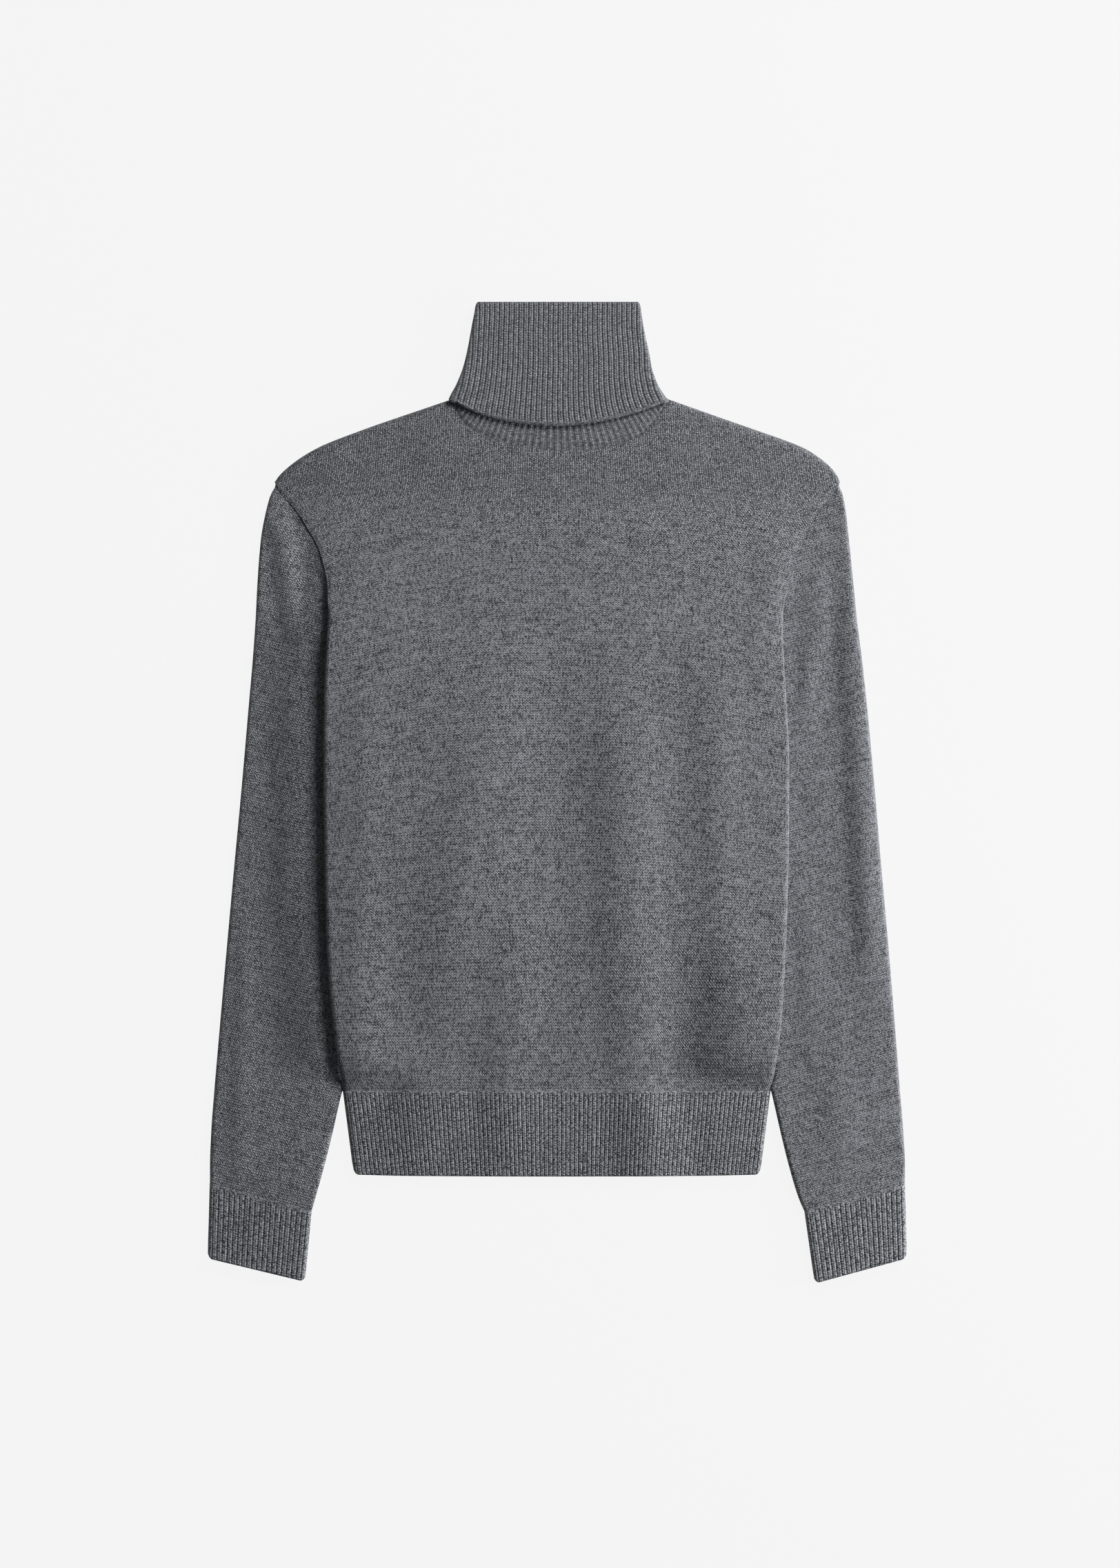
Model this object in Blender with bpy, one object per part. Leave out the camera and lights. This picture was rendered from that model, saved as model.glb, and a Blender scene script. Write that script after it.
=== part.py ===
"""Roll-neck sweater laid flat on its back: front, back, two sleeves, two cuffs, hem rib and collar.

Sizes are in millimetres and become metres where a mesh is made. +X runs across the chest, +Y from
the hem to the collar and +Z up from the surface that the sweater lies on. The two side edges differ
by a few millimetres, so the tables give a column for each side.
"""

import math

import bmesh
import bpy

MM = 0.001

# ---- knit ------------------------------------------------------------------------------------
PLAIN_WALL = 2.4        # plain knit
RIB_WALL = 2.6          # ribbed knit between two ribs
RIB_RISE = 0.8          # a rib above the grooves beside it
LAYER_GAP = 0.3         # between two layers that lie on each other
SEAM_GAP = 0.3          # between two pieces at a seam
LOFT = 1.8              # air that stays between front and back
NECK_LOFT = 0.4         # the same beside the collar
EDGE_ROLL = 4.6         # how far in from a folded edge the knit is rounded
LIFT_MARGIN = 11.0      # how far past a tucked sleeve the back panel keeps its height
LIFT_RAMP = 26.0        # how far it then takes to come down
MOUTH_REACH = (38.0, 12.5)   # how far a sleeve keeps the seam's height, at the tip and underarm

# ---- outline ---------------------------------------------------------------------------------
HEM_TOP = -254.0        # where the plain knit meets the hem rib
UNDERARM = 155.0        # lower end of the seam that joins a sleeve to the body
SHOULDER_TIP = 263.4    # upper end of that seam
BODY_WIDTH = 400.0      # between the side edges, for the spacing of points only
BODY_LENGTH = 540.0     # from the hem rib to the shoulders, for the same
NECK_SIDE = (-91.6, 96.2, 333.2)   # left x, right x and y of the collar's foot at the shoulders


class Table:
    """Rows of sizes with named columns, read between the rows on a smooth curve."""

    def __init__(self, columns, rows):
        names = columns.split()
        self.columns = {name: [row[k] for row in rows] for k, name in enumerate(names)}

    def read(self, name, by, at):
        xs, ys = self.columns[by], self.columns[name]
        sign = 1.0 if xs[-1] > xs[0] else -1.0
        if (at - xs[0]) * sign <= 0.0:
            return ys[0]
        if (at - xs[-1]) * sign >= 0.0:
            return ys[-1]
        k = 0
        while (at - xs[k + 1]) * sign > 0.0:
            k += 1

        def slope(m):
            return (ys[m + 1] - ys[m]) / (xs[m + 1] - xs[m])

        def tangent(m):
            if m == 0:
                return slope(0)
            if m == len(xs) - 1:
                return slope(m - 1)
            before, after = slope(m - 1), slope(m)
            if before * after <= 0.0:
                return 0.0
            return 2.0 * before * after / (before + after)

        step = xs[k + 1] - xs[k]
        t = (at - xs[k]) / step
        start, end = tangent(k) * step, tangent(k + 1) * step
        rise = ys[k + 1] - ys[k]
        return ys[k] + t * (start + t * (3 * rise - 2 * start - end + t * (start + end - 2 * rise)))


# A row for each level of the body, from the hem rib to the shoulder tips. left and right are the
# folded side edges, and above the underarm the armhole seams. lift is how high the back panel is
# carried by the sleeve that is tucked under it, and tuck how far in that sleeve reaches.
BODY = Table("y left right lift tuck", (
    (-254.0, -182.2, 181.1, 0.0, 0.0),
    (-245.0, -183.9, 183.3, 2.4, 0.0),
    (-235.0, -185.6, 185.1, 6.4, 0.0),
    (-222.0, -187.5, 187.1, 8.6, 8.0),
    (-200.0, -190.3, 189.9, 8.6, 22.0),
    (-150.0, -194.9, 193.3, 8.6, 46.0),
    (-90.0, -197.2, 195.6, 8.6, 62.0),
    (-30.0, -198.2, 196.8, 8.6, 72.0),
    (30.0, -198.7, 196.8, 8.6, 74.0),
    (80.0, -198.2, 194.4, 8.6, 60.0),
    (110.0, -197.0, 192.6, 8.6, 34.0),
    (128.0, -196.0, 191.8, 8.6, 10.0),
    (141.0, -195.2, 191.7, 7.4, 0.0),
    (155.0, -194.6, 192.2, 5.5, 0.0),
    (170.0, -194.8, 193.9, 3.6, 0.0),
    (184.0, -196.4, 196.9, 2.0, 0.0),
    (207.0, -202.8, 204.5, 0.5, 0.0),
    (223.0, -211.5, 212.7, 0.0, 0.0),
    (238.5, -221.4, 222.2, 0.0, 0.0),
    (254.0, -234.6, 234.8, 0.0, 0.0),
    (263.4, -240.4, 240.4, 0.0, 0.0),
))

# A row for each level of a sleeve that hangs below the underarm. outer and inner are the distances
# of its edges from the middle, and thick is its height off the surface.
SLEEVE_OUTER = Table("y left right", (
    (263.4, -240.8, 240.8),
    (255.8, -242.6, 242.0),
    (251.0, -244.4, 243.2),
    (234.0, -248.8, 246.0),
    (215.9, -252.0, 247.9),
    (180.8, -254.9, 251.4),
    (145.6, -256.7, 254.9),
    (110.5, -259.2, 259.3),
    (75.3, -262.3, 263.1),
    (5.0, -268.4, 269.6),
    (-65.3, -275.0, 275.6),
    (-135.7, -281.4, 281.9),
    (-206.0, -287.6, 287.6),
    (-255.2, -291.8, 291.4),
    (-290.4, -294.4, 294.3),
    (-318.5, -295.4, 295.7),
    (-340.0, -295.4, 295.4),
))
SLEEVE_INNER = Table("y left right", (
    (-254.0, -182.7, 181.7),
    (-262.2, -184.8, 183.6),
    (-290.4, -191.2, 190.0),
    (-318.5, -198.2, 197.0),
    (-345.0, -205.6, 205.0),
    (-358.0, -209.4, 210.6),
))

# A row for each cross section of a sleeve below its mouth: the levels of its two ends and its
# height off the surface.
SLEEVE_SECTIONS = Table("outer_y inner_y thick", (
    (166.0, 141.0, 8.2),
    (148.0, 127.0, 8.0),
    (127.0, 108.0, 8.0),
    (100.0, 80.0, 8.0),
    (58.0, 34.0, 8.0),
    (10.0, -16.0, 8.0),
    (-42.0, -70.0, 8.0),
    (-94.0, -122.0, 8.0),
    (-142.0, -168.0, 8.0),
    (-182.0, -204.0, 8.0),
    (-204.0, -224.0, 8.0),
    (-222.0, -241.0, 8.0),
    (-244.0, -262.0, 8.0),
    (-288.0, -308.0, 8.0),
    (-333.0, -356.2, 7.2),
))

# ---- soft folds ------------------------------------------------------------------------------
# Each row is one soft ridge of the front: where it is at its lower and upper end, its height and
# its half width. The troughs between the ridges are the fold's other half.
FRONT_RIDGES = Table("x_low y_low x_high y_high rise half", (
    (-166.0, -235.0, -170.0, 60.0, 1.6, 26.0),
    (-40.0, -240.0, -34.0, 10.0, 2.4, 34.0),
    (68.0, -245.0, 52.0, 150.0, 3.2, 30.0),
    (146.0, -245.0, 138.0, 130.0, 2.2, 22.0),
    (-60.0, -40.0, -96.0, 170.0, 1.3, 30.0),
    (120.0, 120.0, 176.0, 225.0, 1.4, 24.0),
))
SLEEVE_RIDGES = {
    "left": Table("x_low y_low x_high y_high rise half", (
        (-238.0, 80.0, -232.0, 222.0, 2.2, 11.0),
        (-262.0, -150.0, -246.0, 40.0, 1.3, 16.0),
        (-238.0, -300.0, -232.0, -190.0, 1.0, 20.0),
    )),
    "right": Table("x_low y_low x_high y_high rise half", (
        (234.0, -40.0, 222.0, 175.0, 1.8, 14.0),
        (262.0, -120.0, 248.0, 110.0, 1.5, 9.0),
        (240.0, -310.0, 236.0, -190.0, 1.0, 20.0),
    )),
}

# ---- shoulders and neckline ------------------------------------------------------------------
SHOULDER_LEFT = ((-240.4, 263.4), (-235.6, 269.9), (-228.0, 276.9), (-218.6, 283.9),
                 (-206.9, 290.9), (-191.6, 298.0), (-154.1, 312.0), (-112.5, 326.1),
                 (NECK_SIDE[0], NECK_SIDE[2]))
SHOULDER_RIGHT = ((NECK_SIDE[1], NECK_SIDE[2]), (112.5, 327.4), (155.3, 312.4), (195.1, 298.4),
                  (211.5, 291.4), (222.7, 284.2), (231.5, 276.9), (237.3, 269.9),
                  (240.4, 263.4))
FRONT_NECKLINE = ((NECK_SIDE[0], NECK_SIDE[2]), (-77.9, 310.9), (-54.5, 299.2), (-29.3, 293.3),
                  (3.0, 289.8), (29.3, 290.4), (54.5, 295.6), (76.8, 307.4),
                  (NECK_SIDE[1], NECK_SIDE[2]))
BACK_NECKLINE = ((NECK_SIDE[0], NECK_SIDE[2]), (-80.0, 330.2), (-50.0, 327.0), (2.0, 325.4),
                 (54.0, 327.0), (84.0, 330.2), (NECK_SIDE[1], NECK_SIDE[2]))

# ---- collar ----------------------------------------------------------------------------------
COLLAR_TOP = 417.0
COLLAR_MIDDLE = 5.65    # height of the middle of its four layers
COLLAR_RIBS = 37        # on the face
COLLAR_SIDES = Table("y left right", (
    (417.0, -67.0, 68.6),
    (408.0, -69.6, 70.4),
    (396.4, -72.7, 72.7),
    (375.3, -76.8, 77.7),
    (361.3, -80.3, 81.2),
    (347.2, -84.9, 86.0),
    (340.2, -88.2, 90.4),
    (334.6, -91.2, 95.4),
))
TURN_DOWN_FRONT = Table("x y", (
    (-91.2, 334.6), (-82.6, 328.5), (-66.2, 320.8), (-46.3, 315.6), (-21.1, 311.9),
    (0.0, 310.9), (21.1, 312.2), (46.3, 316.7), (68.0, 322.6), (84.0, 329.4), (95.4, 334.6),
))
TURN_DOWN_BACK = Table("x y", (
    (-91.2, 334.6), (-66.0, 326.4), (-34.0, 321.2), (2.0, 319.6), (38.0, 321.2), (70.0, 326.4),
    (95.4, 334.6),
))

# ---- hem rib and cuffs -----------------------------------------------------------------------
HEM_RIBS = 97
CUFF_RIBS = 20
BAND_THICK = 7.0        # height of a hem or cuff without its ribs
CORNER = 4.6            # rounding of a band's lower corners
HEM_BOTTOM = ((-172.9, -325.4), (-120.0, -326.5), (0.0, -327.0), (120.0, -326.4),
              (172.3, -325.4))
CUFF_EDGES = {
    "left": {"top": ((-295.4, -333.0), (-209.0, -356.2)),
             "bottom": ((-297.2, -396.6), (-214.8, -416.4))},
    "right": {"top": ((295.4, -333.0), (210.2, -356.2)),
              "bottom": ((297.1, -396.6), (219.0, -418.0))},
}

# ---- mesh density ----------------------------------------------------------------------------
ROLL_ANGLES = (0.0, 38.0, 66.0)        # degrees round a folded edge, before the flat cloth
BODY_LEVELS = (-254.0, -245.0, -235.0, -222.0, -200.0, -160.0, -115.0, -70.0, -25.0, 20.0, 60.0,
               95.0, 118.0, 132.0, 143.0, 155.0)
ARMHOLE_LEVELS = (160.0, 172.0, 188.0, 206.0, 224.0, 241.0, 258.8)
SHOULDER_COLUMNS = 6
NECKLINE_COLUMNS = 9
SHOULDER_SHARE = 0.30                   # of a body panel's columns' width, taken by one shoulder
MOUTH_ROWS = 3
POINTS_PER_RIB = 3
RIB_PROFILE = (0.0, 0.9, 0.9)           # share of RIB_RISE at each of those points
PLAIN_POINTS = 12                       # along a band's plain side
SIDE_ANGLES = (30.0, 60.0)              # degrees round a band's fold, before its top
FOLD_SHARE = 0.03                       # of a ring's run from 0 to 1, taken by half a fold
BAND_STEPS = (0.0, 0.94, 1.0)           # levels of a hem or cuff, from its join to its edge
CORNER_PULL = 0.7                       # how much of CORNER's rounding the last level takes

KNIT_GREY = (0.135, 0.140, 0.151, 1.0)
KNIT_ROUGHNESS = 0.95


def lerp(a, b, t):
    return a + (b - a) * t


def mix(p, q, t):
    return lerp(p[0], q[0], t), lerp(p[1], q[1], t)


def eased(t):
    t = min(max(t, 0.0), 1.0)
    return t * t * (3.0 - 2.0 * t)


class Curve:
    """A smooth plane curve through points, read by its share of length."""

    STEPS = 8

    def __init__(self, points):
        dense = []
        last = len(points) - 1
        for k in range(last):
            before, after = points[max(k - 1, 0)], points[min(k + 2, last)]
            for m in range(self.STEPS):
                dense.append(self.between(before, points[k], points[k + 1], after, m / self.STEPS))
        dense.append(points[last])
        self.points = dense
        self.along = [0.0]
        for p, q in zip(dense, dense[1:]):
            self.along.append(self.along[-1] + math.dist(p, q))
        self.length = self.along[-1]

    @staticmethod
    def between(a, b, c, d, t):
        def axis(k):
            return 0.5 * (2 * b[k] + (c[k] - a[k]) * t
                          + (2 * a[k] - 5 * b[k] + 4 * c[k] - d[k]) * t * t
                          + (3 * b[k] - a[k] - 3 * c[k] + d[k]) * t * t * t)
        return axis(0), axis(1)

    def at(self, share):
        target = min(max(share, 0.0), 1.0) * self.length
        k = 0
        while k < len(self.along) - 2 and self.along[k + 1] < target:
            k += 1
        step = self.along[k + 1] - self.along[k]
        return mix(self.points[k], self.points[k + 1], (target - self.along[k]) / step)


# ---- heights ---------------------------------------------------------------------------------
def ridges(table, x, y):
    """Height that a table of soft ridges adds at a point."""
    total = 0.0
    for x_low, y_low, x_high, y_high, rise, half in zip(*table.columns.values()):
        along = (y - y_low) / (y_high - y_low)
        middle = lerp(x_low, x_high, along)
        across = eased(1.0 - abs(x - middle) / half)
        fade = eased((along + 0.25) / 0.4) * eased((1.25 - along) / 0.4)
        total += rise * across * fade
    return total


def near_neck(x, y):
    return eased((y - 264.0) / 26.0) * eased((140.0 - abs(x - 2.0)) / 38.0)


def lift(x, y):
    """Height of the back panel's underside."""
    level = BODY.read("lift", "y", y)
    reach = BODY.read("tuck", "y", y) + LIFT_MARGIN
    from_edge = min(x - BODY.read("left", "y", y), BODY.read("right", "y", y) - x)
    side = level * eased((reach + LIFT_RAMP - from_edge) / LIFT_RAMP)
    neck = (COLLAR_MIDDLE - RIB_WALL - SEAM_GAP / 2) * near_neck(x, y)
    return max(side, neck)


def front_top(x, y):
    """Height of the front panel's face."""
    neck = near_neck(x, y)
    hem = eased((y - HEM_TOP) / 30.0)
    air = lerp(LOFT, NECK_LOFT, neck) + ridges(FRONT_RIDGES, x, y) * hem * (1.0 - neck)
    return lift(x, y) + 2.0 * PLAIN_WALL + LAYER_GAP + air


def fold_level(x, y):
    """Height of the side and shoulder seams, half way up the two panels."""
    return (lift(x, y) + front_top(x, y)) / 2.0


# ---- meshes ----------------------------------------------------------------------------------
class Cloth:
    """Collects the points and faces of one piece."""

    def __init__(self):
        self.points = []
        self.faces = []

    def height(self, k):
        return round(self.points[k][2], 6)

    def ring(self, points):
        start = len(self.points)
        self.points.extend(points)
        return list(range(start, len(self.points)))

    def strip(self, one, two, closed=False):
        """Triangles between two lines of the same number of points, split along the higher diagonal."""
        count = len(one)
        for k in range(count if closed else count - 1):
            n = (k + 1) % count
            a, b, c, d = one[k], one[n], two[n], two[k]
            if self.height(a) + self.height(c) >= self.height(b) + self.height(d):
                self.faces += [(a, b, c), (a, c, d)]
            else:
                self.faces += [(a, b, d), (b, c, d)]

    def close(self, one, one_at, two, two_at):
        """Triangles between two closed lines whose points differ in number."""
        i = j = 0
        ends_one, ends_two = one_at[1:] + [1.0], two_at[1:] + [1.0]
        while i < len(one) or j < len(two):
            next_one = ends_one[i] if i < len(one) else 2.0
            next_two = ends_two[j] if j < len(two) else 2.0
            a, b = one[i % len(one)], two[j % len(two)]
            if next_one <= next_two:
                i += 1
                self.faces.append((a, one[i % len(one)], b))
            else:
                j += 1
                self.faces.append((a, two[j % len(two)], b))

    def make(self, name):
        mesh = bpy.data.meshes.new(name)
        points = [tuple(value * MM for value in point) for point in self.points]
        mesh.from_pydata(points, [], self.faces)
        work = bmesh.new()
        work.from_mesh(mesh)
        bmesh.ops.recalc_face_normals(work, faces=work.faces[:])
        work.to_mesh(mesh)
        work.free()
        mesh.shade_smooth()
        mesh.set_sharp_from_angle(angle=math.radians(50.0))
        mesh.materials.append(knit_material(name))
        piece = bpy.data.objects.new(name, mesh)
        bpy.context.scene.collection.objects.link(piece)
        return piece


def knit_material(name):
    material = bpy.data.materials.new(name + "_knit")
    material.use_nodes = True
    shader = material.node_tree.nodes["Principled BSDF"]
    shader.inputs["Base Color"].default_value = KNIT_GREY
    shader.inputs["Roughness"].default_value = KNIT_ROUGHNESS
    shader.inputs["Metallic"].default_value = 0.0
    return material


# ---- body ------------------------------------------------------------------------------------
def side_point(side, y, out=0.0):
    """A point of a body panel's side or armhole edge, moved out from the panel."""
    turn = -1.0 if side == "left" else 1.0
    slope = (BODY.read(side, "y", y + 1.0) - BODY.read(side, "y", y - 1.0)) / 2.0
    size = math.hypot(1.0, slope)
    x = BODY.read(side, "y", y)
    return x + turn * out / size, y - turn * slope * out / size


class Panel:
    """Front or back: a patch between two side edges, the hem and the shoulders with the neckline."""

    def __init__(self, neckline):
        self.parts = Curve(SHOULDER_LEFT), Curve(neckline), Curve(SHOULDER_RIGHT)
        ends = [side_point(side, HEM_TOP, -SEAM_GAP / 2)[0] for side in ("left", "right")]
        self.bottom = [(x, HEM_TOP + SEAM_GAP / 2) for x in ends]

    def top(self, u):
        """Point of the upper edge, and how far it is rounded over: 1 at a shoulder, 0 at the neck."""
        left, neck, right = self.parts
        if u < SHOULDER_SHARE:
            return left.at(u / SHOULDER_SHARE), 1.0
        if u > 1.0 - SHOULDER_SHARE:
            return right.at((u - 1.0 + SHOULDER_SHARE) / SHOULDER_SHARE), 1.0
        share = (u - SHOULDER_SHARE) / (1.0 - 2.0 * SHOULDER_SHARE)
        x, y = neck.at(share)
        from_side = min(share, 1.0 - share) * neck.length
        return (x, y - SEAM_GAP / 2 * eased(from_side / 4.0)), 1.0 - eased(from_side / 16.0)

    def at(self, u, v):
        """Point of the patch: u runs from left to right and v from the hem to the shoulders."""
        level = lerp(HEM_TOP, SHOULDER_TIP, v)
        left = side_point("left", level, -SEAM_GAP / 2)
        right = side_point("right", level, -SEAM_GAP / 2)
        tips = self.top(0.0)[0], self.top(1.0)[0]
        across = mix(self.bottom[0], self.bottom[1], u)
        over = self.top(u)[0]
        point = []
        for k in range(2):
            ruled = lerp(across[k], over[k], v)
            at_left = left[k] - lerp(self.bottom[0][k], tips[0][k], v)
            at_right = right[k] - lerp(self.bottom[1][k], tips[1][k], v)
            point.append(ruled + (1.0 - u) * at_left + u * at_right)
        return tuple(point)


def side_roll(v):
    """1 where the body's edge is a fold, 0 where it is the armhole seam."""
    level = lerp(HEM_TOP, SHOULDER_TIP, v)
    return 1.0 - eased((level - UNDERARM + 6.0) / 12.0)


def panel_stops():
    """The panel's columns and rows, each with the angle that it has round a folded edge."""
    shares = [SHOULDER_SHARE * k / SHOULDER_COLUMNS for k in range(SHOULDER_COLUMNS)]
    middle = 1.0 - 2.0 * SHOULDER_SHARE
    shares += [SHOULDER_SHARE + middle * k / NECKLINE_COLUMNS for k in range(NECKLINE_COLUMNS)]
    shares += [1.0 - SHOULDER_SHARE * k / SHOULDER_COLUMNS for k in range(SHOULDER_COLUMNS, -1, -1)]
    levels = BODY_LEVELS + ARMHOLE_LEVELS
    rows = [(level - HEM_TOP) / (SHOULDER_TIP - HEM_TOP) for level in levels]
    return shares, rows


def panel_grid(panel, inner):
    """Points of a panel's outer or inner face as (x, y, share of full height), row by row."""
    shares, rows = panel_stops()
    wall = PLAIN_WALL if inner else 0.0

    def column_list(v):
        roll = side_roll(v)
        angles = [math.radians(a) for a in ROLL_ANGLES]
        edge = [(EDGE_ROLL * (1.0 - math.cos(a)) + roll * wall * math.cos(a),
                 lerp(1.0, math.sin(a), roll)) for a in angles]
        first = EDGE_ROLL / BODY_WIDTH
        left = [(d / BODY_WIDTH, f) for d, f in edge]
        inside = [(lerp(first, 1.0 - first, share), 1.0) for share in shares]
        right = [(1.0 - u, f) for u, f in reversed(left)]
        return left + inside + right

    def row_list(u):
        roll = panel.top(u)[1]
        angles = [math.radians(a) for a in reversed(ROLL_ANGLES)]
        top = [(1.0 - (EDGE_ROLL * (1.0 - math.cos(a)) + roll * wall * math.cos(a)) / BODY_LENGTH,
                lerp(1.0, math.sin(a), roll)) for a in angles]
        return [(v, 1.0) for v in rows] + top

    grid = []
    count = len(rows) + len(ROLL_ANGLES)
    for j in range(count):
        line = []
        nominal = row_list(0.5)[j][0]
        for u, side_share in column_list(nominal):
            v, top_share = row_list(u)[j]
            x, y = panel.at(u, v)
            line.append((x, y, side_share * top_share))
        grid.append(line)
    return grid


def body_panel(name, neckline, front):
    """A panel as a wall between its outer and inner faces."""
    panel = Panel(neckline)
    cloth = Cloth()
    faces = []
    for inner in (False, True):
        lines = []
        for line in panel_grid(panel, inner):
            points = []
            for x, y, share in line:
                fold = fold_level(x, y)
                wall = PLAIN_WALL if inner else 0.0
                if front:
                    z = fold + SEAM_GAP / 2 * (1.0 - share) + (front_top(x, y) - wall - fold) * share
                else:
                    z = fold - SEAM_GAP / 2 * (1.0 - share) - (fold - lift(x, y) - wall) * share
                points.append((x, y, max(z, 0.0)))
            lines.append(cloth.ring(points))
        faces.append(lines)
    outer, inner = faces
    for lines in faces:
        for one, two in zip(lines, lines[1:]):
            cloth.strip(one, two)
    cloth.strip(outer[0], inner[0])
    cloth.strip(outer[-1], inner[-1])
    for end in (0, -1):
        cloth.strip([line[end] for line in outer], [line[end] for line in inner])
    return cloth.make(name)


# ---- sleeves ---------------------------------------------------------------------------------
def sleeve_inner(side, y):
    """The sleeve's inner edge: beside the body, under it or, below the hem, on its own."""
    turn = -1.0 if side == "left" else 1.0
    if y < HEM_TOP:
        return SLEEVE_INNER.read(side, "y", y)
    return BODY.read(side, "y", y) - turn * (BODY.read("tuck", "y", y) - 0.6)


def sleeve_rows(side):
    """Rows of the sleeve from its mouth to the cuff, each a function of the share across it."""
    turn = -1.0 if side == "left" else 1.0
    sections = list(zip(*SLEEVE_SECTIONS.columns.values()))

    def chord(outer_y, inner_y):
        outer = SLEEVE_OUTER.read(side, "y", outer_y), outer_y
        inner = sleeve_inner(side, inner_y), inner_y
        return lambda q: mix(outer, inner, q)

    levels = [SHOULDER_TIP] + list(reversed(ARMHOLE_LEVELS)) + [UNDERARM]

    def mouth(q):
        at = q * (len(levels) - 1)
        k = min(int(at), len(levels) - 2)
        return side_point(side, lerp(levels[k], levels[k + 1], at - k), SEAM_GAP / 2)

    first_outer, first_inner, _ = sections[0]
    below = chord(first_outer, first_inner)

    def blend(j):
        outer_y = lerp(SHOULDER_TIP, first_outer, j)
        outer = SLEEVE_OUTER.read(side, "y", outer_y), outer_y
        inner_y = lerp(UNDERARM, first_inner, j)
        inner = sleeve_inner(side, inner_y), inner_y

        def at(q):
            point = []
            for k in range(2):
                ruled = lerp(mouth(q)[k], below(q)[k], j)
                at_outer = outer[k] - lerp(mouth(0.0)[k], below(0.0)[k], j)
                at_inner = inner[k] - lerp(mouth(1.0)[k], below(1.0)[k], j)
                point.append(ruled + (1.0 - q) * at_outer + q * at_inner)
            return tuple(point)
        return at

    rows = [(mouth, sections[0][2])]
    rows += [(blend(k / MOUTH_ROWS), sections[0][2]) for k in range(1, MOUTH_ROWS)]
    rows += [(chord(outer, inner), thick) for outer, inner, thick in sections]
    return rows


def sleeve(name, side):
    """A sleeve as a flattened tube that is open at its mouth and at the cuff."""
    rows = sleeve_rows(side)
    mouth = rows[0][0]
    shares = [k / (len(ARMHOLE_LEVELS) + 1) for k in range(1, len(ARMHOLE_LEVELS) + 1)]
    angles = [math.radians(a) for a in ROLL_ANGLES]
    cloth = Cloth()
    tubes = []
    for wall in (0.0, PLAIN_WALL):
        rings = []
        for row, thick in rows:
            width = math.dist(row(0.0), row(1.0))
            roll = EDGE_ROLL / width
            edge = [((EDGE_ROLL * (1.0 - math.cos(a)) + wall * math.cos(a)) / width, math.sin(a))
                    for a in angles]
            stops = edge + [(q, 1.0) for q in shares]
            stops += [(1.0 - q, f) for q, f in reversed(edge)]
            top, bottom = [], []
            for q, share in stops:
                x, y = row(q)
                start = mouth(q)
                reach = lerp(*MOUTH_REACH, eased((q - 0.2) / 0.8))
                hold = 1.0 - eased(math.dist((x, y), start) / reach)
                open_edge = eased((abs(x) - abs(BODY.read(side, "y", y)) - 5.0) / 14.0)
                low = hold * lift(*start)
                soft = ridges(SLEEVE_RIDGES[side], x, y) * open_edge
                high = lerp(thick + soft, front_top(*start), hold)
                middle = (low + high) / 2.0
                top.append((x, y, middle + (high - wall - middle) * share))
                bottom.append((x, y, max(middle - (middle - low - wall) * share, 0.0)))
            rings.append(cloth.ring(top + bottom[-2:0:-1]))
        for one, two in zip(rings, rings[1:]):
            cloth.strip(one, two, closed=True)
        tubes.append(rings)
    outer, inner = tubes
    cloth.strip(outer[0], inner[0], closed=True)
    cloth.strip(outer[-1], inner[-1], closed=True)
    return cloth.make(name)


# ---- ribbed rings ----------------------------------------------------------------------------
def ring_stops(ribs):
    """Points round a flattened ring: (run, share across, angle, rise), from its left fold on.

    angle is 180 degrees at the left fold, 90 on the face, 0 at the right fold and -90 below.
    ribs is how many ribs the face has, or 0 on a plain ring.
    """
    stops = [(0.0, 0.0, 180.0, 0.0)]
    stops += [(FOLD_SHARE * a / 90.0, 0.0, 180.0 - a, 0.0) for a in SIDE_ANGLES]
    count = ribs * POINTS_PER_RIB if ribs else PLAIN_POINTS
    face = 0.5 - 2.0 * FOLD_SHARE
    for k in range(count + 1):
        rise = RIB_PROFILE[k % POINTS_PER_RIB] if ribs else 0.0
        stops.append((FOLD_SHARE + face * k / count, k / count, 90.0, rise))
    right = 0.5 - FOLD_SHARE
    for a in SIDE_ANGLES + (90.0,) + tuple(90.0 + b for b in SIDE_ANGLES):
        stops.append((right + FOLD_SHARE * a / 90.0, 1.0, 90.0 - a, 0.0))
    for k in range(PLAIN_POINTS + 1):
        share = k / PLAIN_POINTS
        stops.append((0.5 + FOLD_SHARE + face * share, 1.0 - share, -90.0, 0.0))
    for a in SIDE_ANGLES:
        stops.append((1.0 - FOLD_SHARE + FOLD_SHARE * a / 90.0, 0.0, -90.0 - a, 0.0))
    return stops


def ring_points(stops, face, below, middle, out):
    """Points of a ring at the distance out from the middle level.

    face and below are functions from the share across to (x, y) on its upper and lower layers.
    """
    left, right = face(0.0), face(1.0)
    span = math.dist(left, right)
    across = (right[0] - left[0]) / span, (right[1] - left[1]) / span
    points = []
    for _, share, angle, rise in stops:
        x, y = (face if angle >= 0.0 else below)(share)
        reach = out + rise * RIB_RISE
        side = math.cos(math.radians(angle)) * reach
        z = middle + math.sin(math.radians(angle)) * reach
        points.append((x + across[0] * side, y + across[1] * side, max(z, 0.0)))
    return points


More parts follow.
